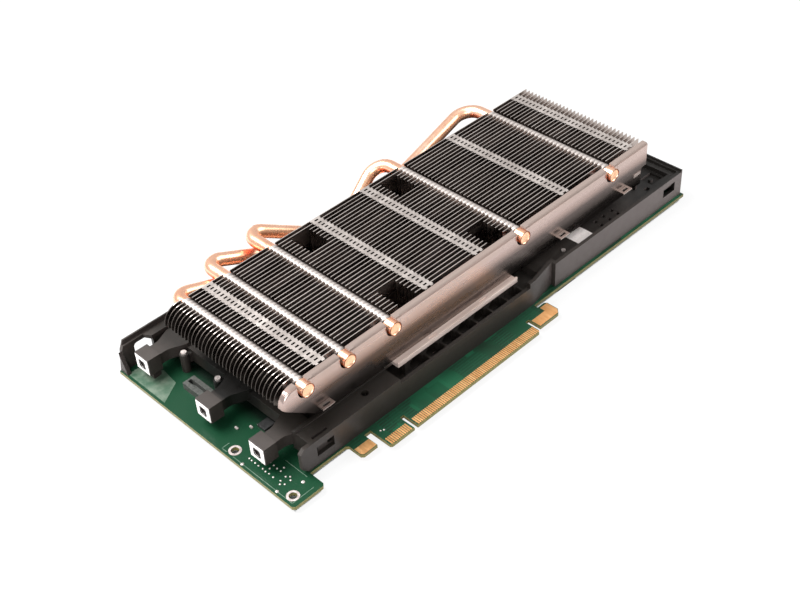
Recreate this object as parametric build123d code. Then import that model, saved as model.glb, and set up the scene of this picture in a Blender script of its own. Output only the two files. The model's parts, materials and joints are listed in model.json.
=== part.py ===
from build123d import *
from math import cos, radians, sin
import os

# A passive accelerator card for servers, in millimetres. Air from the chassis fans cools it.
# The card's own grid: X runs along the board from its I/O end, Y runs up from the tips of the
# edge contacts, and Z rises from the board's component side. The finished pieces are moved so
# that the origin lies under the middle of the card, on the surface that it rests on.

# Circuit board
board_length = 247.65
board_width = 111.15
board_thickness = 1.57
board_edge_y = 12.5
io_extension_length = 15.4
tab_tip_y = 4.3
hook_tab_x = (34.2, 42.0)
tongue_x = (45.3, 131.3)
key_x = 58.6
key_width = 1.9
key_depth = 8.0
tip_bevel = 0.35
latch_x = (133.4, 146.8)
latch_tip_y = 1.9
latch_bar_top_y = 10.6
latch_notch_x = 141.8
side_slot_depth = 8.3
bracket_hole_x = 3.8
bracket_hole_y = (8.9, 42.0)
bracket_hole_radius = 1.6
bracket_ring_radius = 2.9
bracket_ring_gap = 0.25
pad_inset = 0.3
latch_pad_y = 7.0
hook_pad_length = 4.6
corner_cut = 1.0

# Edge contacts, on both faces of the tongue
contact_y = (0.4, 4.4)
contact_inset = 0.7
plating = 0.1

# Cold plate, and the square of spring screws that holds it down
plate_x = (66.0, 141.0)
plate_front_y = 26.5
plate_back_inset = 21.15
plate_bottom = 6.0
plate_top = 14.0
bar_x = (68.0, 137.6)
bar_front_y = 18.2
bar_thickness = 1.6
bar_rim = 0.8
front_screw_inset = 4.9
back_screw_inset = 7.6
screw_spacing = 51.0
spring_screw_radius = 1.5
spring_screw_head_radius = 2.8
spring_screw_head = 1.8
spring_radius = 2.4
spring_wall = 0.5
spring_length = 4.6
spring_seat = 9.0
stamp_size = (4.4, 0.5, 0.3)
stamp_places = (-18.5, 11.0)

# Processor and what it needs round it
processor_x = 107.5
processor_side = 42.5
lid_side = 38.0
processor_height = 4.2
substrate_height = 1.4
memory_length = 14.0
memory_breadth = 12.0
memory_height = 1.2
memory_offset = 38.0
memory_back_inset = 14.15
memory_pitch = 15.6
memory_room = 2.1
pad_side = 10.0

# Cast base frame
wall_front_y = 13.2
wall_right_y = 13.9
wall_thickness = 1.7
wall_height = 12.3
low_wall_height = 10.0
low_wall_x = (64.0, 140.0)
frame_end_inset = 0.75
frame_left_x = 12.8
front_foot = 3.0
wall_end_cut = (1.8, 1.6)
back_wall_left_x = (0.6, 2.3, 3.2)
back_wall_left_z = 10.5
back_lip = 0.7
back_lip_height = 2.1
end_lip_height = 1.0
back_foot_y = 5.0
back_shelf_x = (13.2, 15.0, 27.0)
back_shelf_width = 3.3
back_shelf_thickness = 1.9
back_window_x = (8.0, 17.0)
back_window_z = (2.8, 10.3)
back_window_radius = (1.6, 4.4)
end_step_width = 2.4
end_step_drop = 1.6
end_shelf_x = (219.6, 231.0, 243.0)
end_shelf_width = 3.3
end_shelf_top = 10.6
slot_length = 7.4
slot_breadth = 1.2
slot_x = (20.4, 228.3)
end_pits = ((228.4, 231.2, 19.6, 21.8), (234.0, 241.6, 21.0, 27.6))
end_pit_depth = 1.2
end_pit_pin = (237.4, 24.2)
end_pit_pin_radius = 1.1
slant_x = (143.0, 157.0)
slant_set_back = 2.8
deck_bottom = 3.4
deck_thickness = 1.8
high_deck_x = 153.0
high_deck_bottom = 6.6
deck_opening_side = 8.0
deck_opening_front = 1.4
small_hole_side = 1.6
small_hole_pitch = (5.7, 3.4)
small_hole_grid = (3, 2)
small_hole_start = (52.6, 18.6)
beam_x = (22.0, 27.0)
beam_top = 9.6
boss_face_x = 4.3
boss_width = 8.7
boss_height = 8.0
boss_top = 12.2
boss_length = 6.4
boss_front_y = 28.3
boss_middle_y = 60.1
boss_back_inset = 11.95
arm_flare = 2.2
arm_waist_radius = 6.0
arm_waist_x = 15.0
arm_set_in = (1.6, 1.1, 0.9)
boss_bevel = 0.4
back_foot_x = (2.5, 6.0)
back_foot_width = 5.0
boss_hole_radius = 1.65
boss_hole_depth = 6.5
ledge_x = (18.0, 64.0)
ledge_width = 9.0
ledge_thickness = 2.4
ledge_leg = 2.0
ledge_hole = (49.8, 18.2)
ledge_hole_radius = 1.6
left_window_x = 20.5
end_window_inset = 13.8
window_length = 8.5
window_height = 4.6
arch_pitch = 9.2
arch_count = 7
arch_width = 6.4
upstand_y = 19.3
upstand_thickness = 1.5
rib_thickness = 1.0
upstand_end = 1.5
upstand_shift = 4.0
upstand_gap = 0.6
arch_top = 1.6
arch_foot = 0.4
arch_cut = 1.4
deck_rib_count = 3
deck_rib_height = 2.0
deck_rib_inset = 20.0
deck_rib_end_gap = 9.4
post_x = (19.0, 18.8)
post_gap = (8.2, 8.9)
post_radius = 1.9
post_top = 9.0
post_web = (2.0, 1.2)
post_screw_depth = 4.5
post_screw_radius = 1.1
post_tip_radius = 1.2
post_tip = 0.9
deck_pin_place = (170.1, 20.4)
deck_pin_radius = 0.95
deck_pin_height = 0.6
rail_y = 21.6
rail_breadth = 0.8
rail_height = 0.6

# Fins
fin_thickness = 0.35
fin_pitch = 2.1
fin_overhang = 2.0
fin_x = (14.0, 228.3)
fin_top = 34.0
fin_corner_radius = 7.0
fin_corner_chords = 4
fin_end_z = 26.8
fin_foot_x = 30.0
fin_step_z = 22.5
fin_step = 3.3
tab_rows = (35.8, 93.0, 121.6, 175.4, 219.6)
tab_width = 5.4
pit_length = 9.6
pit_fins = 6
pit_clear_back_fins = 2

# Front side plate, which is the first fin of the stack
side_plate_y = 21.4
side_sheet = 0.5
lip_width = 2.9
lip_bend_radius = 1.2
clip_x = (32.4, 168.3, 211.4)
clip_z = 18.0
clip_length = 6.0
clip_reach = 3.2
clip_slot = (3.4, 1.2)
raised_mark = (219.2, 224.2, 19.6, 21.3)
raised_mark_height = 0.25

# Heat pipes: X of the top leg and of the bottom leg, distance of the bend from the board's back
# edge at the top and at the bottom, and the radius of the bend at the top
pipe_radius = 3.0
pipe_flats = 16
pipe_z = 30.3
pipe_front_y = 19.2
pipe_bottom_z = 10.0
pipe_end_inset = 9.5
pipe_bottom_bend = 5.6
pipe_routes = (
    (25.2, 88.8, 12.15, 15.15, 6.5),
    (46.0, 96.8, 5.35, 9.95, 6.5),
    (69.8, 104.8, 3.25, 5.75, 6.5),
    (144.5, 115.0, 3.95, 8.65, 8.0),
    (203.2, 124.0, 3.95, 9.65, 9.0),
)
pinch_width = 0.8
pinch_depth = 0.8
collar_wall = 0.7
collar_rise = 0.3
fit_gap = 0.05

# Power stage, under the raised deck
choke_count = 5
choke_start = 19.0
choke_end_inset = 20.9
choke_gap = 3.5
choke_y = 62.0
transistor_offset = 14.0
transistor_length = 6.0
transistor_breadth = 5.0
transistor_height = 1.0
capacitor_gap = 6.2
capacitor_breadth = 4.3
capacitor_height = 2.9
capacitor_y = 88.0
capacitor_count = 4

# Solder side
rest_height = 2.0
back_plate_margin = 7.5
back_plate_window = 26.0
back_plate_arm = 11.0
back_plate_bite = 5.0
back_plate_corner = 3.0
board_screw_x = 31.0
board_screw_end_inset = 8.9
board_screw_y = 24.0
board_screw_back_inset = 6.65
board_screw_radius = 1.25
board_screw_head_radius = 2.6
screw_boss_radius = 3.0
screw_clearance = 0.15
screw_tip_gap = 0.4
edge_strip_x = (158.0, 170.0)
edge_strip_inset = 0.6
edge_strip_breadth = 2.8
edge_strip_height = 1.5

# Small pieces on the component side
connector_x = 14.2
connector_shift = -2.75
connector_length = 13.0
connector_breadth = 5.8
connector_height = 3.2
connector_slot = 1.8
connector_end = 0.8
label_place = (183.0, 22.1)
label_side = 9.7
label_thickness = 0.1

# Places worked out from the sizes above
deck_top = deck_bottom + deck_thickness
high_deck_top = high_deck_bottom + deck_thickness
wall_back_y = board_width
wall_inner_y = wall_front_y + wall_thickness
back_inner_y = wall_back_y - wall_thickness
frame_end_x = board_length - frame_end_inset
boss_y = (boss_front_y, boss_middle_y, wall_back_y - boss_back_inset)
post_places = ((post_x[0], boss_y[2] - post_gap[0]), (post_x[1], boss_y[1] + post_gap[1]))
connector_y = (boss_y[1] + boss_y[2]) / 2 + connector_shift
plate_y = (plate_front_y, wall_back_y - plate_back_inset)
screw_y = (plate_y[0] + front_screw_inset, plate_y[1] - back_screw_inset)
processor_y = (screw_y[0] + screw_y[1]) / 2
memory_back_y = wall_back_y - memory_back_inset
pipe_end_y = plate_y[0] + pipe_end_inset
wall_windows = ((left_window_x, 4.4), (frame_end_x - end_window_inset, 4.8))
fin_first_y = side_plate_y + lip_width + fin_pitch
fin_count = 1 + int((plate_y[1] + fin_overhang - fin_first_y) / fin_pitch)
fin_back_y = fin_first_y + (fin_count - 1) * fin_pitch + fin_thickness
slot_width = 2 * (pipe_radius + collar_wall + fit_gap)
slot_bottom = pipe_z - pipe_radius
rest_z = -board_thickness - rest_height
screw_places = [(processor_x + i * screw_spacing / 2, y) for i in (-1, 1) for y in screw_y]
board_screw_places = [
    (x, y)
    for x in (board_screw_x, frame_end_x - board_screw_end_inset)
    for y in (board_screw_y, wall_back_y - board_screw_back_inset)
]
choke_x = high_deck_x + choke_start
choke_pitch = (frame_end_x - choke_end_inset - choke_x) / (choke_count - 1)
choke_side = choke_pitch - choke_gap
capacitor_length = choke_pitch - capacitor_gap
home = Pos(-board_length / 2, -board_width / 2, -rest_z)


def block(x0, x1, y0, y1, z0, z1):
    """A box between two corners."""
    size = Box(x1 - x0, y1 - y0, z1 - z0, align=(Align.MIN, Align.MIN, Align.MIN))
    return Pos(x0, y0, z0) * size


def prism(points, z0, z1):
    """An outline seen from above, raised from z0 to z1."""
    face = make_face(Polyline(*points, close=True))
    return extrude(Pos(0, 0, z0) * face, amount=z1 - z0, dir=(0, 0, 1))


def rod(x, y, radius, z0, z1):
    """An upright round bar."""
    return Pos(x, y, z0) * Cylinder(radius, z1 - z0, align=(Align.CENTER, Align.CENTER, Align.MIN))


def flat_sided_rod(x, y, radius, z0, z1):
    """A twelve-sided bar, for small hardware deep inside."""
    return Pos(x, y, z0) * extrude(RegularPolygon(radius, 12), amount=z1 - z0)


def upright(face, y0, y1):
    """A face drawn in X and Z, made as thick as the distance from y0 to y1."""
    return extrude(Plane.XZ.offset(-y1) * face, amount=y1 - y0)


def save(shape, name):
    """Moves a piece to its place over the origin and writes it."""
    export_step(home * shape, "parts/" + name + ".step")


def circuit_board():
    """The board with its finger tongue, hook tab, latch and I/O-end extension."""
    c = corner_cut
    outline = [
        (0, tab_tip_y + c),
        (c, tab_tip_y),
        (io_extension_length - c, tab_tip_y),
        (io_extension_length, tab_tip_y + c),
        (io_extension_length, board_edge_y),
        (hook_tab_x[0] - c, board_edge_y),
        (hook_tab_x[0], board_edge_y - c),
        (hook_tab_x[0], tab_tip_y + c),
        (hook_tab_x[0] + c, tab_tip_y),
        (hook_tab_x[1], tab_tip_y),
        (hook_tab_x[1], board_edge_y - c),
        (tongue_x[0], board_edge_y - c),
        (tongue_x[0], c),
        (tongue_x[0] + c, 0),
        (tongue_x[1] - c, 0),
        (tongue_x[1], c),
        (tongue_x[1], side_slot_depth),
        (latch_x[0], side_slot_depth),
        (latch_x[0], latch_tip_y),
        (latch_x[1] - 2 * c, latch_tip_y),
        (latch_x[1], latch_tip_y + 2 * c),
        (latch_x[1], latch_bar_top_y - c),
        (latch_x[1] - c, latch_bar_top_y),
        (latch_notch_x, latch_bar_top_y),
        (latch_notch_x, board_edge_y),
        (board_length, board_edge_y),
        (board_length, board_width),
        (0, board_width),
    ]
    board = prism(outline, -board_thickness, 0)
    board -= block(key_x - key_width / 2, key_x + key_width / 2, -1, key_depth, -board_thickness, 0)
    tip = [e for e in board.edges() if e.center().Y < 0.001 and e.length > key_depth]
    board = chamfer(tip, tip_bevel)
    for y in bracket_hole_y:
        board -= rod(bracket_hole_x, y, bracket_hole_radius, -board_thickness, 0)
    for x, y in board_screw_places + screw_places:
        board -= flat_sided_rod(x, y, spring_screw_radius + screw_clearance, -board_thickness, 0)
    return board


def edge_contacts():
    """Gold plating on both faces of the tongue, one field on each side of the key notch."""
    fields = []
    for x0, x1 in ((tongue_x[0], key_x - key_width / 2), (key_x + key_width / 2, tongue_x[1])):
        for z in (0, -board_thickness - plating):
            fields.append(block(x0 + contact_inset, x1 - contact_inset, *contact_y, z, z + plating))
    return Compound(fields)


def board_pads():
    """Plating on the hook tab and along the latch, and rings round the two bracket holes."""
    inset = pad_inset
    latch = [
        (latch_x[0] + inset, latch_tip_y + inset),
        (latch_x[1] - 2 * corner_cut, latch_tip_y + inset),
        (latch_x[1] - inset, latch_tip_y + 2 * corner_cut),
        (latch_x[1] - inset, latch_bar_top_y - corner_cut),
        (latch_notch_x + inset, latch_bar_top_y - corner_cut),
        (latch_notch_x + inset, latch_pad_y),
        (latch_x[0] + inset, latch_pad_y),
    ]
    hook = (hook_tab_x[0] + inset, hook_tab_x[1] - inset, tab_tip_y + corner_cut, tab_tip_y + hook_pad_length)
    pads = []
    for z in (0, -board_thickness - plating):
        pads.append(prism(latch, z, z + plating))
        pads.append(block(*hook, z, z + plating))
    for y in bracket_hole_y:
        ring = rod(bracket_hole_x, y, bracket_ring_radius, 0, plating)
        pads.append(ring - rod(bracket_hole_x, y, bracket_hole_radius + bracket_ring_gap, 0, plating))
    return Compound(pads)


def column_height(x):
    """Height of a screw column over the board, up to the deck above it."""
    return high_deck_bottom if x > high_deck_x else deck_bottom


def front_wall():
    """The front wall: low under the cold plate's edge, slanted back, then forward again."""
    y0, t = wall_front_y, wall_thickness
    outer = [
        (frame_left_x, y0),
        (slant_x[0], y0),
        (slant_x[1], y0 + slant_set_back),
        (slant_x[1], wall_right_y),
        (frame_end_x, wall_right_y),
    ]
    inner = [
        (frame_end_x, wall_right_y + t),
        (slant_x[1] + t, wall_right_y + t),
        (slant_x[1] + t, y0 + slant_set_back + t),
        (slant_x[1] - t / 2, y0 + slant_set_back + t),
        (slant_x[0], y0 + t),
        (frame_left_x, y0 + t),
    ]
    wall = prism(outer + inner, 0, wall_height)
    wall -= block(*low_wall_x, y0 - t, y0 + 2 * t, low_wall_height, wall_height)
    left, top = frame_left_x, wall_height
    foot = [(left, 0), (left + front_foot, 0), (left, front_foot)]
    crown = [(left, top), (left + wall_end_cut[0], top), (left, top - wall_end_cut[1])]
    for corner in (foot, crown):
        wall -= upright(make_face(Polyline(*corner, close=True)), y0, y0 + t)
    for x, z in wall_windows:
        wall -= block(x, x + window_length, y0 - t, y0 + 2 * t, z, z + window_height)
    return wall


def back_and_end_walls():
    """The back wall with its lip, arched window, shelf and leaning left end, and the end wall."""
    t, top = wall_thickness, wall_height
    x0, x1, x2 = back_wall_left_x
    profile = [
        (x0, 0),
        (frame_end_x, 0),
        (frame_end_x, top),
        (x2, top),
        (x1, back_wall_left_z),
    ]
    back = upright(make_face(Polyline(*profile, close=True)), wall_back_y - t, wall_back_y)
    lip = [
        (x2, top),
        (frame_end_x, top),
        (frame_end_x, top + back_lip_height),
        (x2 + (x2 - x1), top + back_lip_height),
    ]
    back += upright(make_face(Polyline(*lip, close=True)), wall_back_y - back_lip, wall_back_y)
    foot = [
        (x0, wall_back_y - back_foot_y, 0),
        (x0, back_inner_y, 0),
        (x0, back_inner_y, back_wall_left_z),
    ]
    back += extrude(make_face(Polyline(*foot, close=True)), amount=x1 - x0, dir=(1, 0, 0))
    s0, s1, s2 = back_shelf_x
    shelf_y = back_inner_y - back_shelf_width
    shelf = [(s0, back_inner_y), (s1, shelf_y), (s2, shelf_y), (s2, back_inner_y)]
    back += prism(shelf, top - back_shelf_thickness, top)
    (w0, w1), (z0, z1) = back_window_x, back_window_z
    arch = Pos((w0 + w1) / 2, (z0 + z1) / 2) * Rectangle(w1 - w0, z1 - z0)
    arch = fillet(arch.vertices().group_by(Axis.Y)[-1].sort_by(Axis.X)[0], back_window_radius[0])
    arch = fillet(arch.vertices().group_by(Axis.X)[-1].sort_by(Axis.Y)[-1], back_window_radius[1])
    back -= upright(arch, wall_back_y - t, wall_back_y)
    end = block(frame_end_x - t, frame_end_x, wall_right_y, wall_back_y, 0, top)
    end += block(frame_end_x - back_lip, frame_end_x, wall_right_y, wall_back_y, top, top + end_lip_height)
    step = block(frame_end_x - t - end_step_width, frame_end_x - t, wall_right_y + t, wall_back_y - t,
                 high_deck_bottom, top - end_step_drop)
    return back + end + step


def deck():
    """The low deck over the memory and the raised deck over the power stage, with the opening."""
    back = back_inner_y
    low = block(beam_x[0], high_deck_x, wall_inner_y, back, deck_bottom, deck_top)
    riser = block(high_deck_x - deck_thickness, high_deck_x, wall_inner_y, back, deck_bottom, high_deck_top)
    high = block(high_deck_x, frame_end_x - wall_thickness, wall_right_y + wall_thickness, back,
                 high_deck_bottom, high_deck_top)
    notch = block(high_deck_x - deck_thickness, slant_x[1] + wall_thickness, wall_right_y,
                  wall_front_y + slant_set_back + wall_thickness / 2, 0, wall_height)
    whole = low + riser + high - notch
    half_x = processor_side / 2 + deck_opening_side
    whole -= block(processor_x - half_x, processor_x + half_x, plate_y[0] + deck_opening_front,
                   memory_back_y - memory_length / 2 - memory_room, 0, wall_height)
    side = small_hole_side
    for i in range(small_hole_grid[0]):
        for j in range(small_hole_grid[1]):
            x = frame_end_x - small_hole_start[0] + small_hole_pitch[0] * i
            y = small_hole_start[1] + small_hole_pitch[1] * j
            whole -= block(x, x + side, y, y + side, high_deck_bottom, high_deck_top)
    for pit in end_pits:
        whole -= block(*pit, high_deck_top - end_pit_depth, high_deck_top)
    whole += rod(*end_pit_pin, end_pit_pin_radius, high_deck_bottom, high_deck_top)
    y0 = wall_right_y + wall_thickness
    x0, x1, x2 = end_shelf_x
    shelf = [(x0, y0), (x2, y0), (x2, y0 + end_shelf_width), (x1, y0 + end_shelf_width)]
    whole += prism(shelf, high_deck_top, end_shelf_top)
    whole -= block(slot_x[1], slot_x[1] + slot_length, y0, y0 + slot_breadth, high_deck_top, end_shelf_top)
    return whole - rod(*deck_pin_place, deck_pin_radius, high_deck_bottom, high_deck_top)


def bracket_arms():
    """Three bosses that face the bracket, on arms that widen where they meet the cross beam."""
    back = back_inner_y
    arms = block(*beam_x, wall_inner_y, back, deck_bottom, beam_top)
    half = boss_width / 2
    for y in boss_y:
        y_low = max(y - half - arm_flare, wall_inner_y)
        y_high = min(y + half + arm_flare, back)
        narrow = half - arm_set_in[2]
        outline = [
            (boss_face_x + boss_length / 2, y - narrow),
            (arm_waist_x, y - narrow),
            (beam_x[0], y_low),
            (beam_x[1], y_low),
            (beam_x[1], y_high),
            (beam_x[0], y_high),
            (arm_waist_x, y + narrow),
            (boss_face_x + boss_length / 2, y + narrow),
        ]
        arm = prism(outline, boss_top - boss_height + arm_set_in[0], boss_top - arm_set_in[1])
        waist = arm.edges().filter_by(Axis.Z).group_by(Axis.X)[1]
        arms += fillet(waist, arm_waist_radius)
        boss = block(boss_face_x, boss_face_x + boss_length, y - half, y + half,
                     boss_top - boss_height, boss_top)
        arms += chamfer(boss.edges().group_by(Axis.X)[0], boss_bevel)
    foot_y = boss_y[-1]
    arms += block(boss_face_x + back_foot_x[0], boss_face_x + back_foot_x[1],
                  foot_y - back_foot_width / 2, foot_y + back_foot_width / 2, 0, boss_top - boss_height)
    half = post_web[0] / 2
    for x, y in post_places:
        arms += rod(x, y, post_radius, 0, post_top)
        arms += block(x, beam_x[0] + half, y - half, y + half, deck_bottom, post_top - post_web[1])
        arms -= rod(x, y, post_screw_radius, post_top - post_screw_depth - screw_tip_gap, post_top)
    for y in boss_y:
        hole = Cylinder(boss_hole_radius, boss_hole_depth, align=(Align.CENTER, Align.CENTER, Align.MIN))
        z = boss_top - boss_height / 2
        arms -= Pos(boss_face_x, y, z) * Rot(0, 90, 0) * hole
    return arms


def ledge():
    """The flat shelf behind the front wall at the I/O end, with its round hole."""
    x0, x1 = ledge_x
    y0, y1 = wall_inner_y, wall_inner_y + ledge_width
    shelf = block(x0, x1, y0, y1, wall_height - ledge_thickness, wall_height)
    for x in (x0, x1 - ledge_leg):
        shelf += block(x, x + ledge_leg, y0, y1, deck_bottom, wall_height)
    shelf -= block(slot_x[0], slot_x[0] + slot_length, y0, y0 + slot_breadth, 0, wall_height)
    shelf += block(x0, x1, rail_y, rail_y + rail_breadth, wall_height, wall_height + rail_height)
    return shelf - rod(*ledge_hole, ledge_hole_radius, 0, wall_height)


def arched_upstand():
    """The inner upstand under the cold plate's front edge, with arches and thin cross ribs."""
    top = plate_top - bar_thickness - upstand_gap
    length = arch_count * arch_pitch + 2 * upstand_end
    x0 = (low_wall_x[0] + low_wall_x[1] - length) / 2 + upstand_shift
    wall = block(x0, x0 + length, upstand_y, upstand_y + upstand_thickness, deck_top, top)
    arch_height = top - deck_top - arch_top
    arch = Rectangle(arch_width, arch_height)
    arch = chamfer(arch.vertices().group_by(Axis.Y)[-1], arch_cut)
    for i in range(arch_count):
        x = x0 + upstand_end + arch_pitch * (i + 0.5)
        hole = Pos(x, deck_top + arch_height / 2 + arch_foot) * arch
        wall -= upright(hole, upstand_y, upstand_y + upstand_thickness)
        rib_x = x + (arch_pitch - rib_thickness) / 2
        wall += block(rib_x, rib_x + rib_thickness, wall_inner_y, upstand_y, deck_top,
                      low_wall_height - rib_thickness)
    return wall


def base_frame():
    """The black casting, in one piece, with its screw columns."""
    frame = front_wall() + back_and_end_walls() + deck() + bracket_arms() + ledge() + arched_upstand()
    for x, y in board_screw_places:
        frame += rod(x, y, screw_boss_radius, 0, column_height(x))
        frame -= rod(x, y, board_screw_radius, 0, column_height(x))
    x0 = frame_end_x - deck_rib_inset
    y0, y1 = wall_inner_y + deck_rib_end_gap, back_inner_y - deck_rib_end_gap
    rib_z = (high_deck_top, high_deck_top + deck_rib_height)
    frame += block(x0 - rib_thickness, x0, y0, y1, *rib_z)
    for i in range(deck_rib_count):
        y = y0 + (y1 - y0) * (i + 1) / (deck_rib_count + 1)
        frame += block(x0, frame_end_x - wall_thickness, y, y + rib_thickness, *rib_z)
    return frame


def cold_plate():
    """The silver plate that takes the processor's heat, bored for five pipes, with its front bar."""
    body = block(*plate_x, *plate_y, plate_bottom, plate_top)
    half = lid_side / 2
    body += block(processor_x - half, processor_x + half, processor_y - half, processor_y + half,
                  processor_height, plate_bottom)
    body += block(*bar_x, bar_front_y, plate_y[0], plate_top - bar_thickness, plate_top)
    body += block(*bar_x, bar_front_y, bar_front_y + bar_rim, plate_top - 2 * bar_rim, plate_top + bar_rim)
    for route in pipe_routes:
        bore = Cylinder(pipe_radius + fit_gap, plate_y[1] - pipe_end_y,
                        align=(Align.CENTER, Align.CENTER, Align.MIN))
        body -= Pos(route[1], plate_y[1], pipe_bottom_z) * Rot(90, 0, 0) * bore
    for x, y in screw_places:
        body -= flat_sided_rod(x, y, spring_screw_radius + screw_clearance, 0, plate_top)
        body -= flat_sided_rod(x, y, spring_screw_head_radius + screw_clearance, spring_seat, plate_top)
    length, breadth, depth = stamp_size
    for offset in stamp_places:
        x, y = processor_x + offset, bar_front_y + 2 * bar_rim
        body -= block(x - length / 2, x + length / 2, y, y + breadth, plate_top - depth, plate_top)
    return body


def fin_face(with_pits):
    """One fin's outline in X and Z, with its pipe slots and, where it is cut, the two pits."""
    x0, x1 = fin_x
    points = [
        (fin_foot_x, plate_top),
        (x1 - fin_step, plate_top),
        (x1 - fin_step, fin_step_z),
        (x1, fin_step_z),
        (x1, fin_top),
    ]
    reach = fin_corner_radius
    for i in range(fin_corner_chords + 1):
        angle = radians(90 + 90 * i / fin_corner_chords)
        points.append((x0 + reach + reach * cos(angle), fin_top - reach + reach * sin(angle)))
    points.append((x0, fin_end_z))
    face = make_face(Polyline(*points, close=True))
    for route in pipe_routes:
        face -= Pos(route[0], fin_top) * Rectangle(slot_width, 2 * (fin_top - slot_bottom))
    if with_pits:
        for side in (-1, 1):
            middle = (fin_top + plate_top) / 2
            x = processor_x + side * screw_spacing / 2
            face -= Pos(x, middle) * Rectangle(pit_length, fin_top - plate_top + 2)
    return face


def fin(with_pits):
    """One fin with the tabs that reach to the next one, lying at Y = 0."""
    plate = upright(fin_face(with_pits), 0, fin_thickness)
    for x in tab_rows:
        in_pit = with_pits and any(
            abs(x - processor_x - side * screw_spacing / 2) < (pit_length + tab_width) / 2
            for side in (-1, 1)
        )
        if not in_pit:
            plate += block(x - tab_width / 2, x + tab_width / 2, -(fin_pitch - fin_thickness), 0,
                           fin_top - fin_thickness, fin_top)
    return plate


def fin_stack():
    """All the plain fins, each a stamped sheet of its own, with tool pits over the spring screws."""
    plain, cut = fin(False), fin(True)
    fins = []
    for i in range(fin_count):
        in_front_pit = i < pit_fins
        in_back_pit = fin_count - pit_clear_back_fins - pit_fins <= i < fin_count - pit_clear_back_fins
        blank = cut if in_front_pit or in_back_pit else plain
        fins += (Pos(0, fin_first_y + i * fin_pitch, 0) * blank).solids()
    return Compound(fins)


def side_plate():
    """The front sheet, folded back along its top and round the I/O end, notched for the pipes."""
    x0, x1 = fin_x
    y0 = side_plate_y
    points = [
        (fin_foot_x, plate_top),
        (x1 - fin_step, plate_top),
        (x1 - fin_step, fin_step_z),
        (x1, fin_step_z),
        (x1, fin_top),
        (x0, fin_top),
        (x0, fin_end_z),
    ]
    outline = make_face(Polyline(*points, close=True))
    corner = outline.vertices().group_by(Axis.X)[0].sort_by(Axis.Y)[-1]
    outline = fillet(corner, fin_corner_radius)
    plate = upright(outline, y0, y0 + lip_width)
    front = [e for e in plate.edges().group_by(Axis.Y)[0]
             if e.center().Z > fin_end_z and e.center().X < x1 - 1]
    plate = fillet(front, lip_bend_radius)
    s = side_sheet
    hollow = [
        (x0 + s, 0),
        (x1 + s, 0),
        (x1 + s, fin_top - s),
        (x0 + s, fin_top - s),
    ]
    room = make_face(Polyline(*hollow, close=True))
    corner = room.vertices().group_by(Axis.X)[0].sort_by(Axis.Y)[-1]
    room = fillet(corner, fin_corner_radius - s)
    plate -= upright(room, y0 + s, y0 + lip_width)
    half = slot_width / 2
    for route in pipe_routes:
        slot = Pos(route[0], fin_top) * Rectangle(slot_width, 2 * (fin_top - pipe_z))
        slot += Pos(route[0], pipe_z) * Circle(half)
        plate -= upright(slot, y0, y0 + lip_width)
    reach = y0 - clip_reach / 2
    for x in clip_x:
        plate += centred(x, reach, clip_length, clip_reach, s, clip_z)
        plate -= centred(x, reach, clip_slot[0], clip_slot[1], s, clip_z)
    mark_x0, mark_x1, mark_z0, mark_z1 = raised_mark
    return plate + block(mark_x0, mark_x1, y0 - raised_mark_height, y0, mark_z0, mark_z1)


def heat_pipe(route):
    """One pipe: along the fins, round the back, down, and back into the cold plate."""
    top_x, bottom_x, top_inset, bottom_inset, top_bend = route
    path = FilletPolyline(
        (top_x, pipe_front_y, pipe_z),
        (top_x, wall_back_y - top_inset, pipe_z),
        (bottom_x, wall_back_y - bottom_inset, pipe_bottom_z),
        (bottom_x, pipe_end_y, pipe_bottom_z),
        radius=(top_bend, pipe_bottom_bend),
    )
    section = Plane(path @ 0, z_dir=path % 0) * RegularPolygon(pipe_radius, pipe_flats)
    pipe = sweep(section, path=path)
    half = pinch_width / 2
    return pipe - block(top_x - 2 * pipe_radius, top_x + 2 * pipe_radius, pipe_front_y,
                        pipe_front_y + pinch_depth, pipe_z - half, pipe_z + half)


def pipe_collar(route):
    """The fins' own collars over one pipe, each touching the next, as one arched strip."""
    y0 = side_plate_y + lip_width
    outer = pipe_radius + collar_wall
    ring = Circle(outer) - Circle(pipe_radius + fit_gap)
    ring -= Pos(0, -outer) * Rectangle(2 * outer + slot_width, 2 * (outer - collar_rise))
    return upright(Pos(route[0], pipe_z) * ring, y0, fin_back_y)


def processor():
    """The processor package: substrate and lid."""
    half, lid = processor_side / 2, lid_side / 2
    x, y = processor_x, processor_y
    package = block(x - half, x + half, y - half, y + half, 0, substrate_height)
    return package + block(x - lid, x + lid, y - lid, y + lid, substrate_height, processor_height)


def memory_places():
    """Four packages on the left, right and back of the processor; the flag turns one round."""
    places = []
    for i in range(4):
        step = (i - 1.5) * memory_pitch
        places.append((processor_x - memory_offset, processor_y + step, False))
        places.append((processor_x + memory_offset, processor_y + step, False))
        places.append((processor_x + step, memory_back_y, True))
    return places


def spring_screw(x, y):
    """A shouldered screw that runs through the cold plate and the board into the back plate."""
    top = spring_seat + spring_length
    head = flat_sided_rod(x, y, spring_screw_head_radius, top, top + spring_screw_head)
    return head + flat_sided_rod(x, y, spring_screw_radius, rest_z, top)


def spring(x, y):
    """The coil spring between the cold plate and the screw's head, drawn as its outer sleeve."""
    sleeve = flat_sided_rod(x, y, spring_radius, spring_seat, spring_seat + spring_length)
    bore = flat_sided_rod(x, y, spring_radius - spring_wall, spring_seat, spring_seat + spring_length)
    return sleeve - bore


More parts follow.
